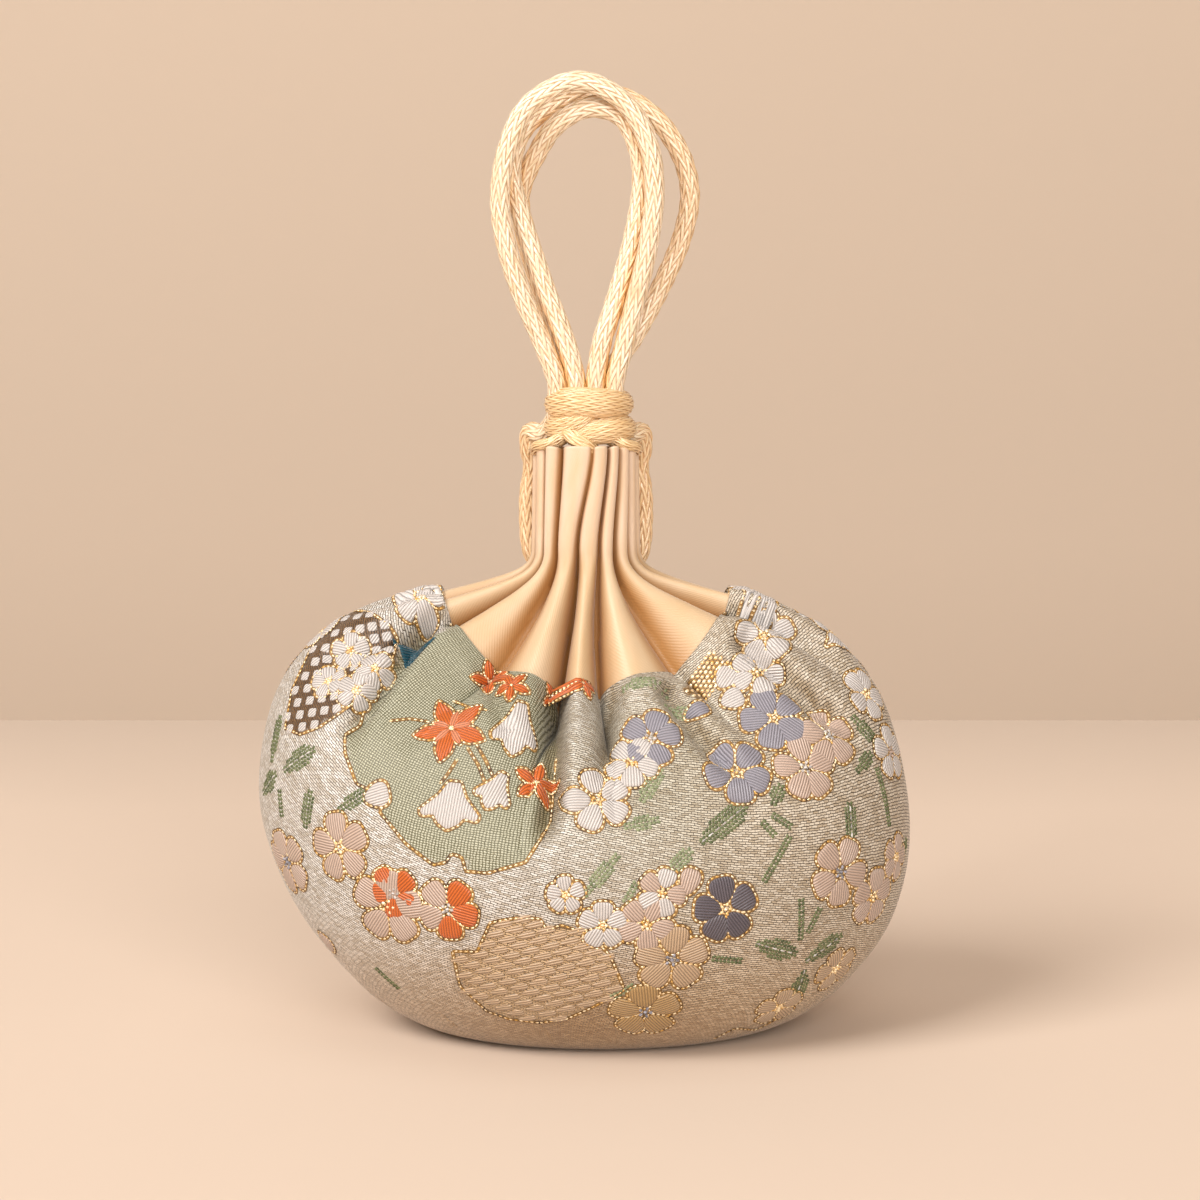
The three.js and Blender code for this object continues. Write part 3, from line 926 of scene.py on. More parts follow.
def add_body(material):
    columns = cloth_columns(BODY_COLUMNS_PER_GATHER)
    points, normal = body_points(columns)
    shares = np.linspace(BASE_MIDDLE, 1, BASE_RINGS, endpoint=False)[:, None, None]
    base = mix(np.array((BASE_SHIFT, 0, 0)), points[:1], shares)
    rolled = points[-1:] + np.array((0, 0, ROLL_RISE)) - normal[-1:] * ROLL_DEPTH
    tucked = points[-1:] - normal[-1:] * (SEAM_PUFF + TUCK_DEPTH)
    rows = np.concatenate([base, points, rolled, tucked])
    along = (column_turns(columns, SEAM) - SEAM_TURN[0]) / 360 * BELLY_GIRTH
    body = add_cloth("brocade_bag", rows, along, material)
    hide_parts("brocade_body")
    return body


# Soft fields of colour in the ground: colour and greatest share. Beige grows to the right of an x over a
# span, partly the cloth's own beige and partly painted shade on the side away from the key light; the warm
# tone grows below a height, partly the cloth's own tone and partly painted bounce light from the floor; and
# the spots have x, height and their reach each way.
BEIGE_AND_PAINTED_SHADE = ("ccbfaa", 0.7)
BEIGE_SHADE_START = -6
BEIGE_SHADE_SPAN = 22
WARM_AND_BOUNCE_LIGHT = ("e8ceae", 0.8)
WARM_BOUNCE_HEIGHT = 18
GREEN_FIELD = ("b8b5a3", 0.7)
GREEN_SPOT = (6, 30, 11, 11)
GOLD_FIELD = ("aa8451", 0.75)
GOLD_SPOT = (-1, 4, 17, 8)


def spot_share(points, spot):
    x, height, reach, rise = spot
    return np.exp(-((points[:, 0] - x) / reach) ** 2 - ((points[:, 2] - height) / rise) ** 2)


def ground_tint_and_painted_light(points):
    """Ground colour of each point, partly painted shade and bounce light, with 0 for the grained weave."""
    fields = [
        (BEIGE_AND_PAINTED_SHADE, smooth((points[:, 0] - BEIGE_SHADE_START) / BEIGE_SHADE_SPAN)),
        (WARM_AND_BOUNCE_LIGHT, smooth((WARM_BOUNCE_HEIGHT - points[:, 2]) / WARM_BOUNCE_HEIGHT)),
        (GREEN_FIELD, spot_share(points, GREEN_SPOT)),
        (GOLD_FIELD, spot_share(points, GOLD_SPOT)),
    ]
    tint = np.tile([*linear(GROUND_COLOR)[:3], 0], (len(points), 1))
    for (color, greatest), share in fields:
        tint[:, :3] = mix(tint[:, :3], np.array(linear(color)[:3]), greatest * share[:, None])
    return tint


# Stitched pattern

# Places are x and height where the pattern is seen from the front, on the upright plane through the
# pouch's axis. Headings turn from the right, anticlockwise. Lengths are millimetres.
FLOSS = dict(
    lilac="93909b", mauve="5e575f", blush="c2aa9b", white="cec8c5", beige="bea284",
    orange="c96326", coral="d2835e", teal="114959", straw="b08e5f",
)
# Other threads: the two colours they vary between, roughness and share of metal
THREADS = dict(
    gold=("cf9f50", "ffeecb", 0.28, 0.4), brown=("4a3216", "8a6630", 0.6, 0.0),
    leaf=("3d4728", "69714b", 0.5, 0.0), mint=("5f6a4a", "8b9270", 0.5, 0.0),
)
# Floss: pitch of its threads and the painted shade between them. Pads: heights, and share and rise of their
# rings
FLOSS_PITCH = 0.29
FLOSS_GAP_PAINTED_SHADE = 0.42
PETAL_HEIGHT = 0.2
FILL_HEIGHT = 0.1
PAD_RINGS = ((1.0, 0.1), (0.94, 0.62), (0.76, 0.92), (0.4, 1.0))
# Beaded edges, the dark thread under them, and length, width and height of each kind of short stitch
EDGE_OFFSET = 0.14
EDGE_STEP = 0.35
GOLD_BEAD = (0.5, 0.27, 0.18)
BEAD_PITCH = 0.56
UNDERLAY_WIDTH = 0.4
UNDERLAY_LIFT = 0.06
LEAF_DOT = (0.56, 0.42, 0.14)
LEAF_PITCH = 0.43
HEART_KNOT = (0.5, 0.4, 0.34)
RIB_STITCH = (0.7, 0.24, 0.18)
STITCH_SINK = 0.04
# Reach of the lines that find the cloth, probe for its direction, and spread of the texture's places
LAY_REACH = 9
SPOT_PROBE = 1.5
TEXTURE_SHIFT = 9
# Small differences between stitches made by hand
HAND = np.random.default_rng(seed=5)

# Outlines of petals, as turns round them, and of half a bell, from its stem to the tip of its middle lip
PETAL_POINTS = 28
PETAL_TURNS = np.linspace(-np.pi, np.pi, PETAL_POINTS, endpoint=False)
PETAL_BREADTH = 0.95
PETAL_FLARE = 0.3
PETAL_NOTCH = 0.05
FILLING_NOTCH = 0.06
NOTCH_SPREAD = 0.4
DIAMOND_SHARPNESS = 1.6
BELL_HALF = [(-1, 0.2), (-0.4, 0.45), (0.3, 1), (0.55, 0.9), (0.45, 0.5), (0.75, 0.35), (1, 0)]
# Petals of flowers and lobes of pointed leaves: number, sway of the heading in degrees, and shares of the
# radius. The lean gives the knot in the middle of a heart its heading.
FLOWER_PETALS = 5
PETAL_SWAY = 6
PETAL_LENGTHS = (0.78, 0.88)
PETAL_WIDTHS = (0.72, 0.84)
HEART_REACH = 0.15
HEART_LEAN = 0.01
MAPLE_LOBES = 5
LOBE_SWAY = 5
LOBE_LENGTHS = (0.86, 0.96)
LOBE_WIDTH = 0.48
LOBE_POINT = 0.75
# Rows of stitches in a leaf: slant, places out from the rib, fullness of the outline, and the rib itself
LEAF_SLANT = 38
LEAF_FIRST = 0.55
LEAF_SPACING = 0.387
LEAF_BELLY = 0.85
LEAF_ROUNDNESS = 0.8
RIB_ENDS = (-0.4, 0.34)
RIB_PITCH = 0.8

# Flowers: x, height, radius, heading of the first petal, floss of the petals, heart if it isn't gold
FLOWERS = [
    (20.2, 33.6, 3.7, 41, "lilac"), (16.2, 27.6, 3.6, 54, "lilac"),
    (23.6, 28.2, 3.5, 20, "blush", "white"), (26.1, 31.8, 3.4, 95, "blush", "white"),
    (15.1, 12.6, 3.5, 24, "mauve"), (27.5, 16.7, 3.7, 58, "blush", "lilac"),
    (-26.6, 19.5, 3.7, 31, "blush"), (-32.2, 17.8, 3.6, 37, "blush", "lilac"),
    (-21.4, 12.9, 4.2, 11, "blush"), (-20.8, 14.4, 3.0, 47, "orange", "white"),
    (-15.0, 12.6, 3.4, 57, "orange blush blush orange orange", "white"),
    (9.3, 7.0, 3.9, 18, "beige", "lilac"), (6.5, 10.9, 3.0, 60, "blush"), (1.8, 10.8, 2.6, 90, "white"),
    (6.4, 1.2, 3.8, 90, "straw", "lilac"), (1.3, 24.6, 3.4, 100, "white"),
    (6.9, 31.4, 3.2, 10, "lilac", "white"), (4.9, 28.8, 2.9, 64, "white"),
    (18.3, 38.6, 2.8, 75, "white"), (19.1, 42.6, 3.0, 30, "white"), (30.0, 36.2, 3.0, 50, "white"),
    (32.7, 29.9, 3.0, 10, "white", "blush"), (31.0, 14.0, 3.2, 15, "blush"),
    (33.4, 18.4, 2.6, 70, "blush"), (8.2, 14.4, 2.6, 66, "white blush white white blush"),
    (-2.2, 14.2, 2.0, 20, "white"), (27.0, 6.0, 2.8, 45, "beige"), (20.9, 1.7, 2.8, 25, "beige"),
    (-17.7, 46.6, 2.8, 80, "white"), (-25.2, 40.9, 2.1, 20, "white"), (-22.6, 39.0, 2.1, 50, "white"),
    (-24.6, 36.6, 2.2, 70, "white"), (-27.6, 37.6, 2.0, 40, "white"),
]
# Pointed leaves: x, height, radius, heading, floss
MAPLES = [
    (-14.5, 32.5, 3.9, 52, "orange"), (-14.5, 32.5, 2.2, 88, "coral"), (-5.3, 26.6, 2.4, 80, "orange"),
    (-10.3, 37.4, 2.2, 100, "orange"), (-8.0, 37.2, 1.9, 60, "orange"),
    (-3.5, 35.6, 1.9, 110, "orange"),
]
# Bell flowers with pointed lips: x, height, length, width, heading, floss
BELLS = [
    (-7.4, 32.4, 6.0, 5.0, -112, "white"), (-14.6, 24.0, 5.0, 6.4, -95, "white"),
    (-9.8, 25.6, 4.2, 3.8, -118, "white"),
]
# Lone petals: x, height, length, width, heading, floss
PETALS = [
    (-22.5, 25.2, 2.8, 2.6, 20, "white"), (-28.0, 8.9, 3.0, 2.3, 70, "blush"),
    (11.2, 15.7, 2.9, 2.2, 70, "blush"), (15.0, 38.0, 2.6, 2.4, 60, "white"),
    (15.7, 35.7, 2.6, 2.4, 30, "white"), (12.0, 34.6, 2.6, 1.8, 20, "lilac"),
]
# Leaves: x, height, length, width, heading, then the thread if it isn't leaf and whether a cream rib shows
LEAVES = [
    (-33.4, 31.2, 5.2, 2.1, 95), (-31.1, 29.0, 5.2, 2.6, 35, "leaf", True),
    (-34.2, 26.4, 4.4, 2.3, 40, "leaf", True), (-32.9, 24.0, 2.8, 0.8, 100),
    (-30.1, 23.4, 4.2, 2.0, 80), (-25.1, 24.6, 4.6, 1.9, 35), (-29.3, 9.0, 3.0, 1.2, 120),
    (-21.7, 5.0, 3.5, 1.1, -60), (14.7, 21.9, 6.4, 2.8, 35, "leaf", True), (20.5, 25.0, 2.4, 1.6, 60),
    (19.6, 21.6, 2.2, 1.1, -50), (20.9, 22.5, 2.4, 1.1, -35), (28.6, 21.9, 4.9, 2.0, 85, "leaf", True),
    (29.8, 32.5, 4.0, 1.8, -55), (29.9, 28.7, 3.6, 1.6, 30), (32.2, 24.8, 6.4, 1.2, 95),
    (34.4, 19.3, 2.2, 1.3, 60), (20.5, 17.9, 5.4, 1.2, 55), (20.6, 8.2, 5.6, 2.5, -20, "leaf", True),
    (25.7, 8.2, 5.2, 2.5, 30, "leaf", True), (23.2, 4.2, 4.4, 2.8, -85, "leaf", True),
    (15.1, 7.0, 3.4, 1.2, -10), (23.3, 11.2, 4.6, 0.8, 95), (24.6, 11.2, 3.0, 0.8, 65),
    (3.7, 3.3, 2.8, 0.9, 35, "mint"), (1.5, 16.2, 5.6, 1.6, 50, "mint"),
    (6.9, 26.1, 4.2, 2.0, 60, "mint"), (5.9, 22.1, 4.0, 1.5, 10, "mint"),
    (5.9, 37.6, 4.8, 1.8, 20, "mint"), (9.7, 34.2, 3.2, 1.5, -20, "mint"),
    (4.7, 14.2, 2.4, 1.2, 60, "mint"), (10.1, 17.9, 3.6, 1.8, 40, "mint"),
]
# Flowers and leaves of the flanks, as seen from the side and a little from behind; +x is towards the back
FLANK_TURN = 102
FLANK_FLOWERS = [
    (-2.5, 33.5, 3.4, 20, "blush"), (2.5, 26.5, 3.5, 50, "lilac"), (-2.0, 15.5, 3.5, 75, "white"),
    (2.5, 9.5, 3.2, 10, "blush", "lilac"), (-5.4, 38.4, 2.8, 40, "white"),
    (-4.6, 43.6, 2.6, 10, "white"),
]
FLANK_LEAVES = [
    (2.5, 32.5, 4.6, 2.2, 40, "leaf", True), (-1.5, 21.5, 4.8, 2.0, -40, "leaf", True),
    (-4.0, 27.0, 4.2, 1.8, 100), (3.0, 18.0, 4.4, 2.0, 70),
]
# Loose lines of gold beads
CHAINS = [
    [(-20.9, 33.3), (-18.9, 33.5), (-17.0, 33.2)],
    [(-14.1, 35.4), (-12.4, 34.7), (-10.8, 34.5)],
    [(-13.9, 29.0), (-15.0, 27.3), (-15.6, 26.6)],
    [(-12.7, 30.3), (-11.6, 28.5), (-10.8, 26.3)],
    [(-11.7, 30.6), (-10.7, 28.8), (-9.9, 26.9)],
    [(14.0, -1.7), (16.2, -0.6), (18.4, -0.8), (20.5, 0.3)],
]
# Fields of another ground: the edge that is beaded, and for one field the edge under the collar
SAGE_EDGE = [
    (-23.5, 35.6), (-24.3, 32.7), (-25.9, 31.8), (-25.9, 29.8), (-24.7, 26.4), (-21.1, 24.8), (-22.3, 23.4),
    (-19.4, 19.8), (-16.5, 17.5), (-15.1, 17.8), (-14.6, 18.7), (-13.4, 18.4), (-13.0, 16.8), (-10.6, 16.6),
    (-6.5, 17.8), (-3.8, 22.2), (-3.2, 29.0),
]
SAGE_TOP = [(-3.2, 36.5), (-9.2, 43.0), (-14.0, 44.0), (-20.2, 40.0)]
WAVE_EDGE = [
    (-10.4, 11.1), (-8.0, 11.6), (-5.0, 11.6), (-4.2, 10.2), (-2.8, 10.9), (0.4, 9.8), (2.6, 7.5),
    (4.2, 3.6), (0.4, 1.6), (-2.2, 0.4), (-5.0, 0.0), (-8.3, 0.4), (-10.8, 1.3), (-13.7, 4.1),
    (-14.5, 8.0), (-11.8, 7.9),
]
LATTICE_EDGE = [
    (-32.3, 32.5), (-30.7, 31.8), (-28.6, 32.6), (-25.9, 34.5), (-23.7, 36.4), (-20.8, 39.9), (-20.1, 42.1),
    (-21.0, 43.7), (-23.1, 45.1), (-25.0, 45.3), (-27.4, 43.7), (-29.5, 41.0), (-31.5, 36.7),
]
GOLD_PATCH = [(10.4, 36.6), (13.4, 41.2), (15.6, 39.4), (12.6, 35.2)]
TEAL_PATCH = [(-20.4, 42.6), (-16.6, 40.6), (-19.6, 38.6)]
# Filling stitches: pitch along and across, heading, length and width of a stitch
WAVE_FILL = (2.2, 0.9, 14, 2.1, 0.84)
LATTICE_FILL = (1.9, 0.95, 55, 1.25, 1.25)
GOLD_FILL = (0.62, 0.44, 55, 0.6, 0.4)
# Half ellipsoid of a short stitch: a tip, three arcs of four points over it, and the other tip
DASH_ARCS = (-0.6, 0, 0.6)
DASH_TURNS = np.radians((0, 60, 120, 180))
DASH_CAPS = np.array([(0, i + 2, i + 1) for i in range(3)] + [(13, 9 + i, 10 + i) for i in range(3)])
DASH_SIDES = np.array([(a, a + 1, a + 5, a + 4) for a in (1, 2, 3, 5, 6, 7)])


def dash_points(length, width, height):
    points = [(-1, 0, 0)]
    for share in DASH_ARCS:
        reach = math.sqrt(1 - share ** 2)
        points += [(share, -reach * math.cos(turn), reach * math.sin(turn)) for turn in DASH_TURNS]
    return np.array(points + [(1, 0, 0)]) * (length / 2, width / 2, height)


def spin(azimuth):
    """Matrix of a turn about the upright axis."""
    return np.array(Matrix.Rotation(math.radians(azimuth), 3, "Z"))


class Cloth:
    """The brocade's surface, on which the pattern is laid."""

    def __init__(self, body):
        points = np.empty(3 * len(body.data.vertices))
        body.data.vertices.foreach_get("co", points)
        self.points = points.reshape(-1, 3) / MM
        faces = [face.vertices[:] for face in body.data.polygons]
        self.tree = BVHTree.FromPolygons(self.points.tolist(), faces)

    def meet(self, starts, ways, reach):
        """Where lines meet the cloth, and the directions out of it there."""
        points = np.full(starts.shape, np.nan)
        normals = np.zeros(starts.shape)
        for i, (start, way) in enumerate(zip(starts, ways)):
            point, normal, _, _ = self.tree.ray_cast(Vector(start), Vector(way), reach)
            if point is not None:
                points[i] = point
                normals[i] = normal
        return points, normals

    def seen(self, places, azimuth):
        """Where sight lines through the places meet the cloth, and the directions out of it there."""
        eye = camera_place()
        upright = np.insert(np.array(places, dtype=float), 1, 0, axis=1)
        ways = (upright - eye) @ spin(azimuth).T
        return self.meet(np.broadcast_to(spin(azimuth) @ eye, ways.shape), ways, 2 * CAMERA_DISTANCE)

    def spot(self, x, height, azimuth):
        """A place on the cloth with the directions right, up and out there."""
        around = np.array([(0, 0), (1, 0), (-1, 0), (0, 1), (0, -1)]) * SPOT_PROBE + (x, height)
        points, normals = self.seen(around, azimuth)
        out = Vector(normals.sum(axis=0)).normalized()
        up = (Vector((0, 0, 1)) - out * out.z).normalized()
        return np.array([points[0], up.cross(out), up, out])

    def lay(self, spot, flat):
        """Points of the cloth under flat places round a spot, and the directions out of it there."""
        origin, right, up, out = spot
        starts = origin + flat @ np.array([right, up]) + out * LAY_REACH
        return self.meet(starts, np.broadcast_to(-out, starts.shape), 2 * LAY_REACH)

    def in_field(self, outline, azimuth):
        """Which points of the cloth are seen inside an outline."""
        turned_points = self.points @ spin(-azimuth).T
        return inside(front_view(turned_points), np.array(outline)) & (turned_points[:, 1] < 0)


def turned(flat, heading):
    c = math.cos(math.radians(heading))
    s = math.sin(math.radians(heading))
    return np.asarray(flat) @ np.array(((c, s), (-s, c)))


def inside(flat, outline):
    """Whether each flat point lies inside a closed outline."""
    result = np.zeros(len(flat), dtype=bool)
    for (x0, y0), (x1, y1) in zip(outline, np.roll(outline, -1, axis=0)):
        crosses = (y0 > flat[:, 1]) != (y1 > flat[:, 1])
        slope = (x1 - x0) / (y1 - y0) if y1 != y0 else 0
        result ^= crosses & (flat[:, 0] < x0 + slope * (flat[:, 1] - y0))
    return result


def even_steps(points, pitch, closed):
    """Points at even steps along a path in the plane or in space."""
    points = np.asarray(points, dtype=float)
    if closed:
        points = np.vstack([points, points[:1]])
    lengths = path_lengths(points)
    count = max(3, round(lengths[-1] / pitch))
    return read_along(points, lengths, np.linspace(0, lengths[-1], count, endpoint=not closed))


def rows_inside(outline, along, across, heading):
    """Places in offset rows inside a closed outline."""
    outline = np.array(outline)
    count = math.ceil(np.ptp(outline, axis=0).max() / min(along, across))
    places = [(along * (i + 0.5 * (row % 2)), across * row)
              for row in range(-count, count + 1) for i in range(-count, count + 1)]
    places = turned(places, heading) + outline.mean(axis=0)
    return places[inside(places, outline)]


def petal_outline(length, width, notch=PETAL_NOTCH, point=0.0):
    """Petal along +X that widens outwards, with a notched tip or a pointed one."""
    along = np.cos(PETAL_TURNS)
    flare = PETAL_BREADTH + PETAL_FLARE * along * (1 - point)
    across = np.sin(PETAL_TURNS) * flare * (1 - point * np.maximum(along, 0) ** 2)
    dip = notch * np.exp(-(PETAL_TURNS / NOTCH_SPREAD) ** 2)
    return np.stack([(along - 2 * dip) * length / 2, across * width / 2], axis=1)


def lobe_outline(length, width):
    return petal_outline(length, width, notch=0, point=LOBE_POINT)


def filling_outline(length, width):
    return petal_outline(length, width, notch=FILLING_NOTCH)


def bell_outline(length, width):
    """Bell along +X: narrow at its stem, with three pointed lips."""
    corners = BELL_HALF + [(x, -y) for x, y in BELL_HALF[-2::-1]]
    return even_steps(np.array(corners) * (length / 2, width / 2), EDGE_STEP, closed=True)


def diamond_outline(length, width):
    waves = np.stack([np.cos(PETAL_TURNS), np.sin(PETAL_TURNS)], axis=1)
    return np.sign(waves) * np.abs(waves) ** DIAMOND_SHARPNESS * (length / 2, width / 2)


class Needle:
    """Lays stitches on the cloth, thread by thread."""

    def __init__(self, cloth):
        self.cloth = cloth
        self.threads = {}

    def thread(self, name):
        return self.threads.setdefault(name, Bundle())

    def pad(self, floss, spot, outline, centre=(0, 0), heading=0, height=PETAL_HEIGHT):
        """Padded satin stitch that fills an outline."""
        count = len(outline)
        flat = np.vstack([outline * share for share, _ in PAD_RINGS] + [np.zeros((1, 2))])
        lift = height * np.repeat([rise for _, rise in PAD_RINGS] + [1], [count] * len(PAD_RINGS) + [1])
        points, normals = self.cloth.lay(spot, turned(flat, heading) + centre)
        last = (len(PAD_RINGS) - 1) * count
        cap = [[last + i, last + (i + 1) % count, last + count] for i in range(count)]
        blocks = [grid_faces(len(PAD_RINGS), count), cap]
        uvs = flat + HAND.uniform(0, TEXTURE_SHIFT, 2)
        self.thread(floss).add(points + normals * lift[:, None], blocks, uvs)

    def dashes(self, name, middles, normals, along, size):
        """Short raised stitches, each a half ellipsoid."""
        count = len(middles)
        shape = dash_points(*size)
        along = along - normals * np.sum(along * normals, axis=1, keepdims=True)
        along = along / np.maximum(np.linalg.norm(along, axis=1, keepdims=True), TINY)
        axes = np.stack([along, np.cross(normals, along), normals], axis=1)
        points = middles[:, None, :] + shape @ axes - STITCH_SINK * normals[:, None, :]
        first = len(shape) * np.arange(count)[:, None, None]
        blocks = [(DASH_CAPS + first).reshape(-1, 3), (DASH_SIDES + first).reshape(-1, 4)]
        shifts = HAND.uniform(0, TEXTURE_SHIFT, (count, 2))
        uvs = np.tile(shape[:, :2], (count, 1)) + np.repeat(shifts, len(shape), axis=0)
        self.thread(name).add(points.reshape(-1, 3), blocks, uvs)

    def flat_dashes(self, name, spot, places, directions, size):
        """Short raised stitches at flat places round a spot."""
        _, right, up, _ = spot
        points, normals = self.cloth.lay(spot, places)
        self.dashes(name, points, normals, directions @ np.array([right, up]), size)

    def couch(self, points, normals, closed):
        """Gold beads sewn along a path on the cloth, over a dark thread."""
        hit = ~np.isnan(points[:, 0])
        closed = closed and hit.all()
        if hit.sum() < 3:
            return
        path = even_steps(np.hstack([points, normals])[hit], EDGE_STEP, closed)
        self.underlay(path, closed)
        path = even_steps(path, BEAD_PITCH, closed)
        ahead = np.roll(path, -1, axis=0) - np.roll(path, 1, axis=0)
        if not closed:
            ahead[0] = path[1] - path[0]
            ahead[-1] = path[-1] - path[-2]
        self.dashes("gold", path[:, :3], unit(path[:, 3:]), ahead[:, :3], GOLD_BEAD)

    def underlay(self, path, closed):
        ahead = np.gradient(path[:, :3], axis=0)
        side = unit(np.cross(path[:, 3:], ahead)) * UNDERLAY_WIDTH / 2
        middle = path[:, :3] + path[:, 3:] * UNDERLAY_LIFT
        blocks = [grid_faces(2, len(path), closed)]
        edges = np.vstack([middle + side, middle - side])
        self.thread("brown").add(edges, blocks, np.vstack([path[:, :2]] * 2))

    def edged_pad(self, floss, spot, shape, length, width, heading, out=0):
        """Padded satin stitch with a beaded edge, some way out along its heading."""
        centre = turned((out, 0), heading)
        self.pad(floss, spot, shape(length, width), centre, heading)
        edge = shape(length + 2 * EDGE_OFFSET, width + 2 * EDGE_OFFSET)
        self.couch(*self.cloth.lay(spot, turned(edge, heading) + centre), closed=True)

    def lone_petal(self, spot, length, width, heading, floss):
        self.edged_pad(floss, spot, petal_outline, length, width, heading)

    def bell(self, spot, length, width, heading, floss):
        self.edged_pad(floss, spot, bell_outline, length, width, heading)

    def flower(self, spot, radius, heading, floss, heart="gold"):
        """Petals of one floss, or of one named for each, round a heart of knots."""
        names = floss.split() * (1 if " " in floss else FLOWER_PETALS)
        for i, name in enumerate(names):
            direction = heading + 360 / len(names) * i + HAND.uniform(-PETAL_SWAY, PETAL_SWAY)
            length = radius * HAND.uniform(*PETAL_LENGTHS)
            width = radius * HAND.uniform(*PETAL_WIDTHS)
            self.edged_pad(name, spot, petal_outline, length, width, direction, radius - length / 2)
        ring = [turned((HEART_REACH * radius, 0), 360 / FLOWER_PETALS * i) for i in range(FLOWER_PETALS)]
        places = np.vstack(ring + [np.zeros(2)])
        self.flat_dashes(heart, spot, places, places + (HEART_LEAN, 0), HEART_KNOT)

    def maple(self, spot, radius, heading, floss):
        for i in range(MAPLE_LOBES):
            direction = heading + 360 / MAPLE_LOBES * i + HAND.uniform(-LOBE_SWAY, LOBE_SWAY)
            length = radius * HAND.uniform(*LOBE_LENGTHS)
            width = radius * LOBE_WIDTH
            self.edged_pad(floss, spot, lobe_outline, length, width, direction, radius - length / 2)

    def patch(self, floss, outline, azimuth):
        """Satin stitch that fills an outline on the upright plane."""
        middle = np.mean(outline, axis=0)
        edge = even_steps(np.array(outline) - middle, EDGE_STEP, closed=True)
        self.pad(floss, self.cloth.spot(*middle, azimuth), edge)

    def leaf(self, spot, length, width, heading, thread="leaf", rib=False):
        """Slanting rows of small stitches on both sides of a middle rib."""
        slant = math.radians(LEAF_SLANT)
        places = []
        directions = []
        for row in range(max(3, round(length / LEAF_PITCH))):
            share = (row + 0.5) * LEAF_PITCH / length
            half = width / 2 * math.sin(math.pi * min(share, 1) ** LEAF_BELLY) ** LEAF_ROUNDNESS
            for side in (-1, 1):
                for j in range(max(1, round(half / LEAF_PITCH))):
                    out = (j + LEAF_FIRST) * LEAF_SPACING
                    places.append(((share - 0.5) * length + out * math.cos(slant), side * out))
                    directions.append((math.cos(slant), side * math.sin(slant)))
        self.flat_dashes(thread, spot, turned(places, heading), turned(directions, heading), LEAF_DOT)
        if rib:
            ends = turned([(length * share, 0) for share in RIB_ENDS], heading)
            line = even_steps(ends, RIB_PITCH, closed=False)
            self.flat_dashes("white", spot, line, np.tile(line[-1] - line[0], (len(line), 1)), RIB_STITCH)

    def fill(self, thread, outline, filling, azimuth, shape):
        """Pads of one shape in offset rows inside an outline."""
        along, across, heading, length, width = filling
        for x, height in rows_inside(outline, along, across, heading):
            spot = self.cloth.spot(x, height, azimuth)
            self.pad(thread, spot, shape(length, width), heading=heading, height=FILL_HEIGHT)

    def beaded_rows(self, outline, filling, azimuth):
        """Rows of gold beads inside an outline."""
        along, across, heading, length, width = filling
        points, normals = self.cloth.seen(rows_inside(outline, along, across, heading), azimuth)
        slope = math.radians(heading)
        ahead = spin(azimuth) @ (math.cos(slope), 0, math.sin(slope))
        size = (length, width, GOLD_BEAD[2])
        self.dashes("gold", points, normals, np.tile(ahead, (len(points), 1)), size)


def stitch_fields(needle, azimuth, tint):
    """Fields of another ground with their fillings and beaded edges."""
    cloth = needle.cloth
    fields = (
        (SAGE_EDGE, SAGE_TOP, "c0bfa9", 1),
        (WAVE_EDGE, [], "d0b592", 0),
        (LATTICE_EDGE, [], "715537", 0),
        (GOLD_PATCH, [], "906c34", 0),
    )
    for edge, top, color, weave in fields:
        tint[cloth.in_field(edge + top, azimuth)] = [*linear(color)[:3], weave]
    needle.fill("beige", WAVE_EDGE, WAVE_FILL, azimuth, filling_outline)
    needle.fill("white", LATTICE_EDGE, LATTICE_FILL, azimuth, diamond_outline)
    needle.beaded_rows(GOLD_PATCH, GOLD_FILL, azimuth)
    needle.patch("teal", TEAL_PATCH, azimuth)
    edges = [(SAGE_EDGE, False), (WAVE_EDGE, True), (LATTICE_EDGE, True)]
    edges += [(chain, False) for chain in CHAINS]
    for edge, closed in edges:
        needle.couch(*cloth.seen(even_steps(edge, EDGE_STEP, closed), azimuth), closed=closed)


def stitch_motifs(cloth, azimuth, motifs, side=1):
    for stitch, places in motifs:
        for x, height, *shape in places:
            stitch(cloth.spot(side * x, height, azimuth), *shape)


def floss_material(name, color):
    """Parallel silk threads with a soft gloss and painted shade between them."""
    material, shader = new_material(
        name + "_floss", color, roughness=0.36, Sheen_Weight=0.15, Sheen_Roughness=0.4)
    threads = add_bands(material, scaled_uv(material), FLOSS_PITCH, "Y", distortion=0.9)
    bright = linear(color)
    gap_shade = [FLOSS_GAP_PAINTED_SHADE * part for part in bright[:3]] + [1]
    join(material, two_tones(material, threads, (0, gap_shade), (0.35, bright)), shader.inputs["Base Color"])
    add_bump(material, shader, threads, distance=0.08)
    return material


def thread_material(name, low, high, roughness, metallic):
    """Thread whose colour varies from stitch to stitch."""
    material, shader = new_material(name + "_thread", high, roughness, Metallic=metallic)
    cloud = add_noise(material, scaled_uv(material), scale=1.6)["Fac"]
    tone = two_tones(material, cloud, (0.35, linear(low)), (0.6, linear(high)))
    join(material, tone, shader.inputs["Base Color"])
    return material


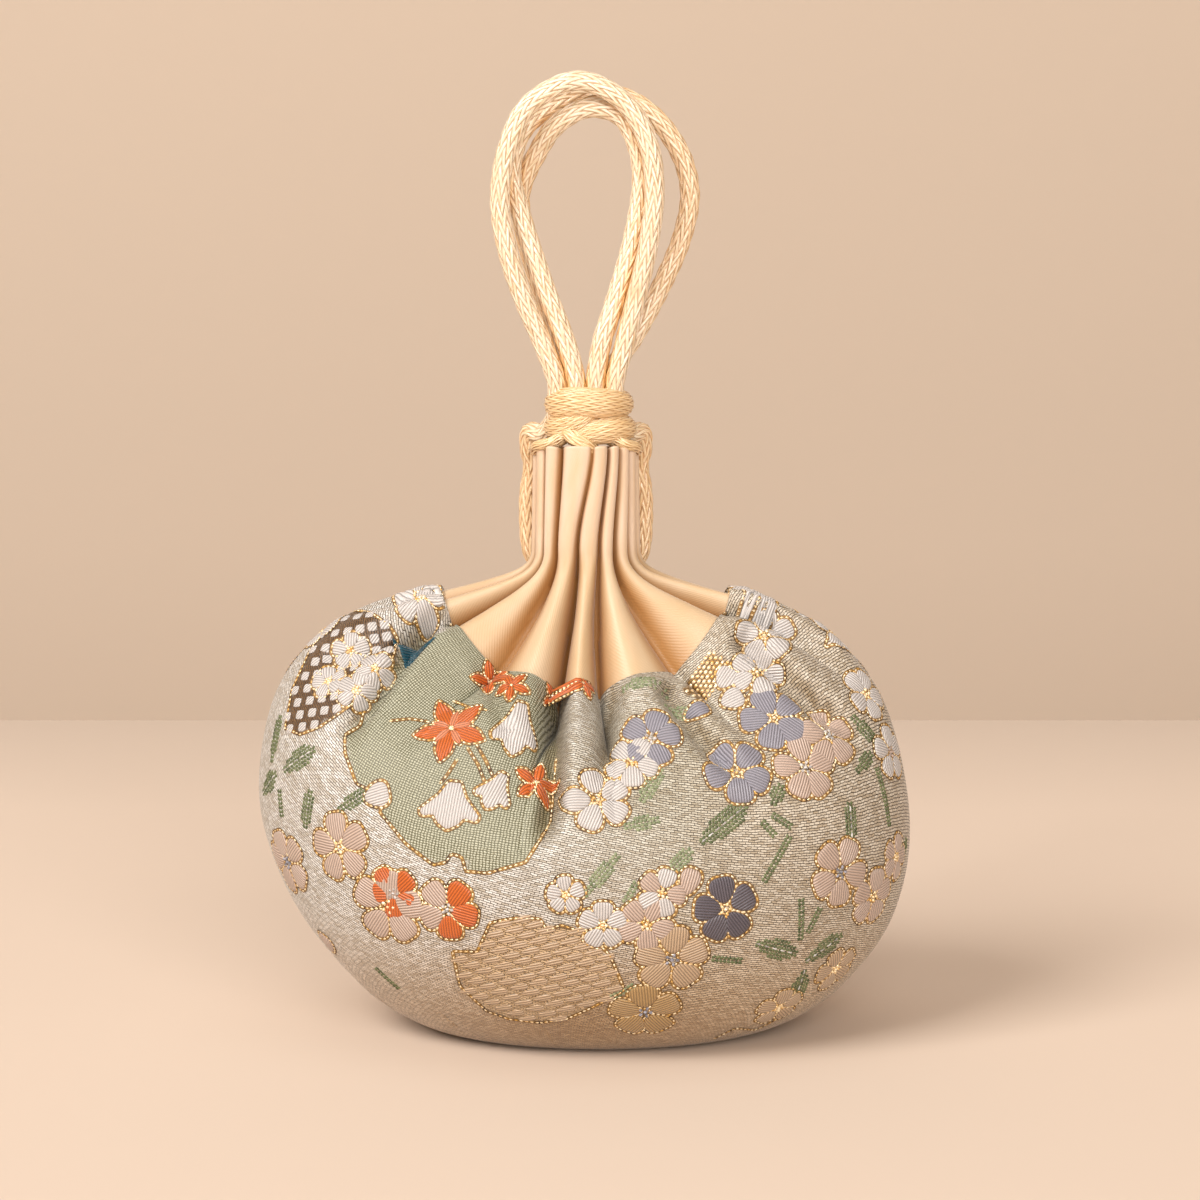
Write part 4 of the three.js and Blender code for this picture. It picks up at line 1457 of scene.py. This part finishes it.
def add_pattern(body):
    needle = Needle(Cloth(body))
    tint = ground_tint_and_painted_light(needle.cloth.points)
    faces = [
        (needle.leaf, LEAVES), (needle.flower, FLOWERS), (needle.maple, MAPLES), (needle.bell, BELLS),
        (needle.lone_petal, PETALS),
    ]
    flanks = [(needle.leaf, FLANK_LEAVES), (needle.flower, FLANK_FLOWERS)]
    for azimuth in (0, 180):
        stitch_fields(needle, azimuth, tint)
        stitch_motifs(needle.cloth, azimuth, faces)
    for side in (1, -1):
        stitch_motifs(needle.cloth, side * FLANK_TURN, flanks, side)
    # Painted shade in the creases of the cloth
    crease_shade = smooth(pressed_in(needle.cloth.points) / CREASE_SHADE_DEPTH)[:, None]
    tint[:, :3] *= mix(np.ones(3), np.array(CREASE_PAINTED_SHADE), crease_shade)
    paint(body, tint)
    materials = {name: floss_material(name, color) for name, color in FLOSS.items()}
    materials.update({name: thread_material(name, *looks) for name, looks in THREADS.items()})
    for name, bundle in needle.threads.items():
        bundle.piece("stitches_" + name, materials[name], "brocade")


# Satin collar: rows from below the seam to the rim, then down into its mouth
COLLAR_COLUMNS_PER_GATHER = 20
HIDDEN_LEVEL = 1.98
HIDDEN_ROWS = 3
SKIRT_ROWS = 46
FRILL_ROWS = 40
MOUTH_ROWS = 14
MOUTH_DEPTH = 6
MOUTH_CURVE = 1.5
MOUTH_CLOSING = 0.97
# The rim: how it rounds off and rises, and the share of the mouth's rows in which it turns over
SATIN_THICKNESS = 0.35
RIM_ROUNDING = 0.5
RIM_SPAN = 0.25
RIM_TURN = 0.25
RIM_BULGE = 0.12
FRONT_RISE = 0.9
BACK_RISE = 0.1
# Tones of the satin, which are painted shade: the skirt's, the frill's and the valleys', the level where the
# skirt's becomes the frill's, and how far up a fold the valleys' shade reaches
SKIRT_PAINTED_SHADE = (0.82, 0.74, 0.66)
FRILL_TONE = (0.96, 0.89, 0.91)
VALLEY_PAINTED_SHADE = (0.53, 0.32, 0.15)
TONE_LEVEL = 2.7
TONE_SPAN = 0.5
SKIRT_VALLEY_REACH = 0.62
FRILL_VALLEY_REACH = 0.3


def mouth_rows(rim, normal):
    """Rows that turn over the rim and close down into the mouth."""
    rows = []
    for share in np.arange(1, MOUTH_ROWS + 1) / MOUTH_ROWS:
        over = min(1, share / RIM_TURN)
        inner = (rim - normal * SATIN_THICKNESS * over) * (1 - MOUTH_CLOSING * share ** 2)
        lift = RIM_BULGE * math.sin(math.pi * over) - MOUTH_DEPTH * share ** MOUTH_CURVE
        rows.append(inner * (1, 1, 0) + rim * (0, 0, 1) + (0, 0, lift))
    return rows


def collar_painted_shade(levels, climb):
    """Painted shade of each point, from the valleys and the mouth up to the crests of the folds."""
    lit = np.concatenate([climb, np.zeros((MOUTH_ROWS, climb.shape[1]))])
    levels = np.append(levels, [EDGE] * MOUTH_ROWS)[:, None, None]
    frill_share = smooth((levels - TONE_LEVEL) / TONE_SPAN)
    tone = mix(np.array(SKIRT_PAINTED_SHADE), np.array(FRILL_TONE), frill_share)
    reach = mix(SKIRT_VALLEY_REACH, FRILL_VALLEY_REACH, frill_share)
    return mix(np.array(VALLEY_PAINTED_SHADE), tone, smooth(lit[..., None] / reach))


def add_collar(material):
    columns = cloth_columns(COLLAR_COLUMNS_PER_GATHER)
    levels = np.concatenate([
        np.linspace(HIDDEN_LEVEL, SEAM, HIDDEN_ROWS, endpoint=False),
        np.linspace(SEAM, FRILL, SKIRT_ROWS, endpoint=False),
        np.linspace(FRILL, EDGE, FRILL_ROWS),
    ])
    points, normal, arch, climb = gathered_cloth(columns, levels)
    near_rim = smooth((levels - EDGE + RIM_SPAN) / RIM_SPAN)[:, None]
    points[..., 2] -= RIM_ROUNDING * near_rim * (1 - arch)
    to_front = np.clip(0.5 - points[..., 1] / (2 * FRONT["edge"]), 0, 1)
    points[..., 2] += smooth(levels - FRILL)[:, None] * mix(BACK_RISE, FRONT_RISE, to_front)
    rows = np.concatenate([points, mouth_rows(points[-1], normal[-1])])
    along = np.arange(rows.shape[1]) / rows.shape[1] * BELLY_GIRTH
    collar = add_cloth("gathered_satin", rows, along, material)
    # The satin's tint is painted shade
    paint(collar, collar_painted_shade(levels, climb).reshape(-1, 3))
    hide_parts("satin_collar")


def main():
    add_camera()
    knot = add_knot(cord_material("knot_silk", *KNOT_SILK_SHADE_AND_HIGHLIGHT))
    add_cords(cord_material("silk_cord", *CORD_SILK_SHADE_AND_HIGHLIGHT), knot)
    body = add_body(brocade_material())
    add_pattern(body)
    add_collar(satin_material())
    add_stage()
    add_lights()


main()
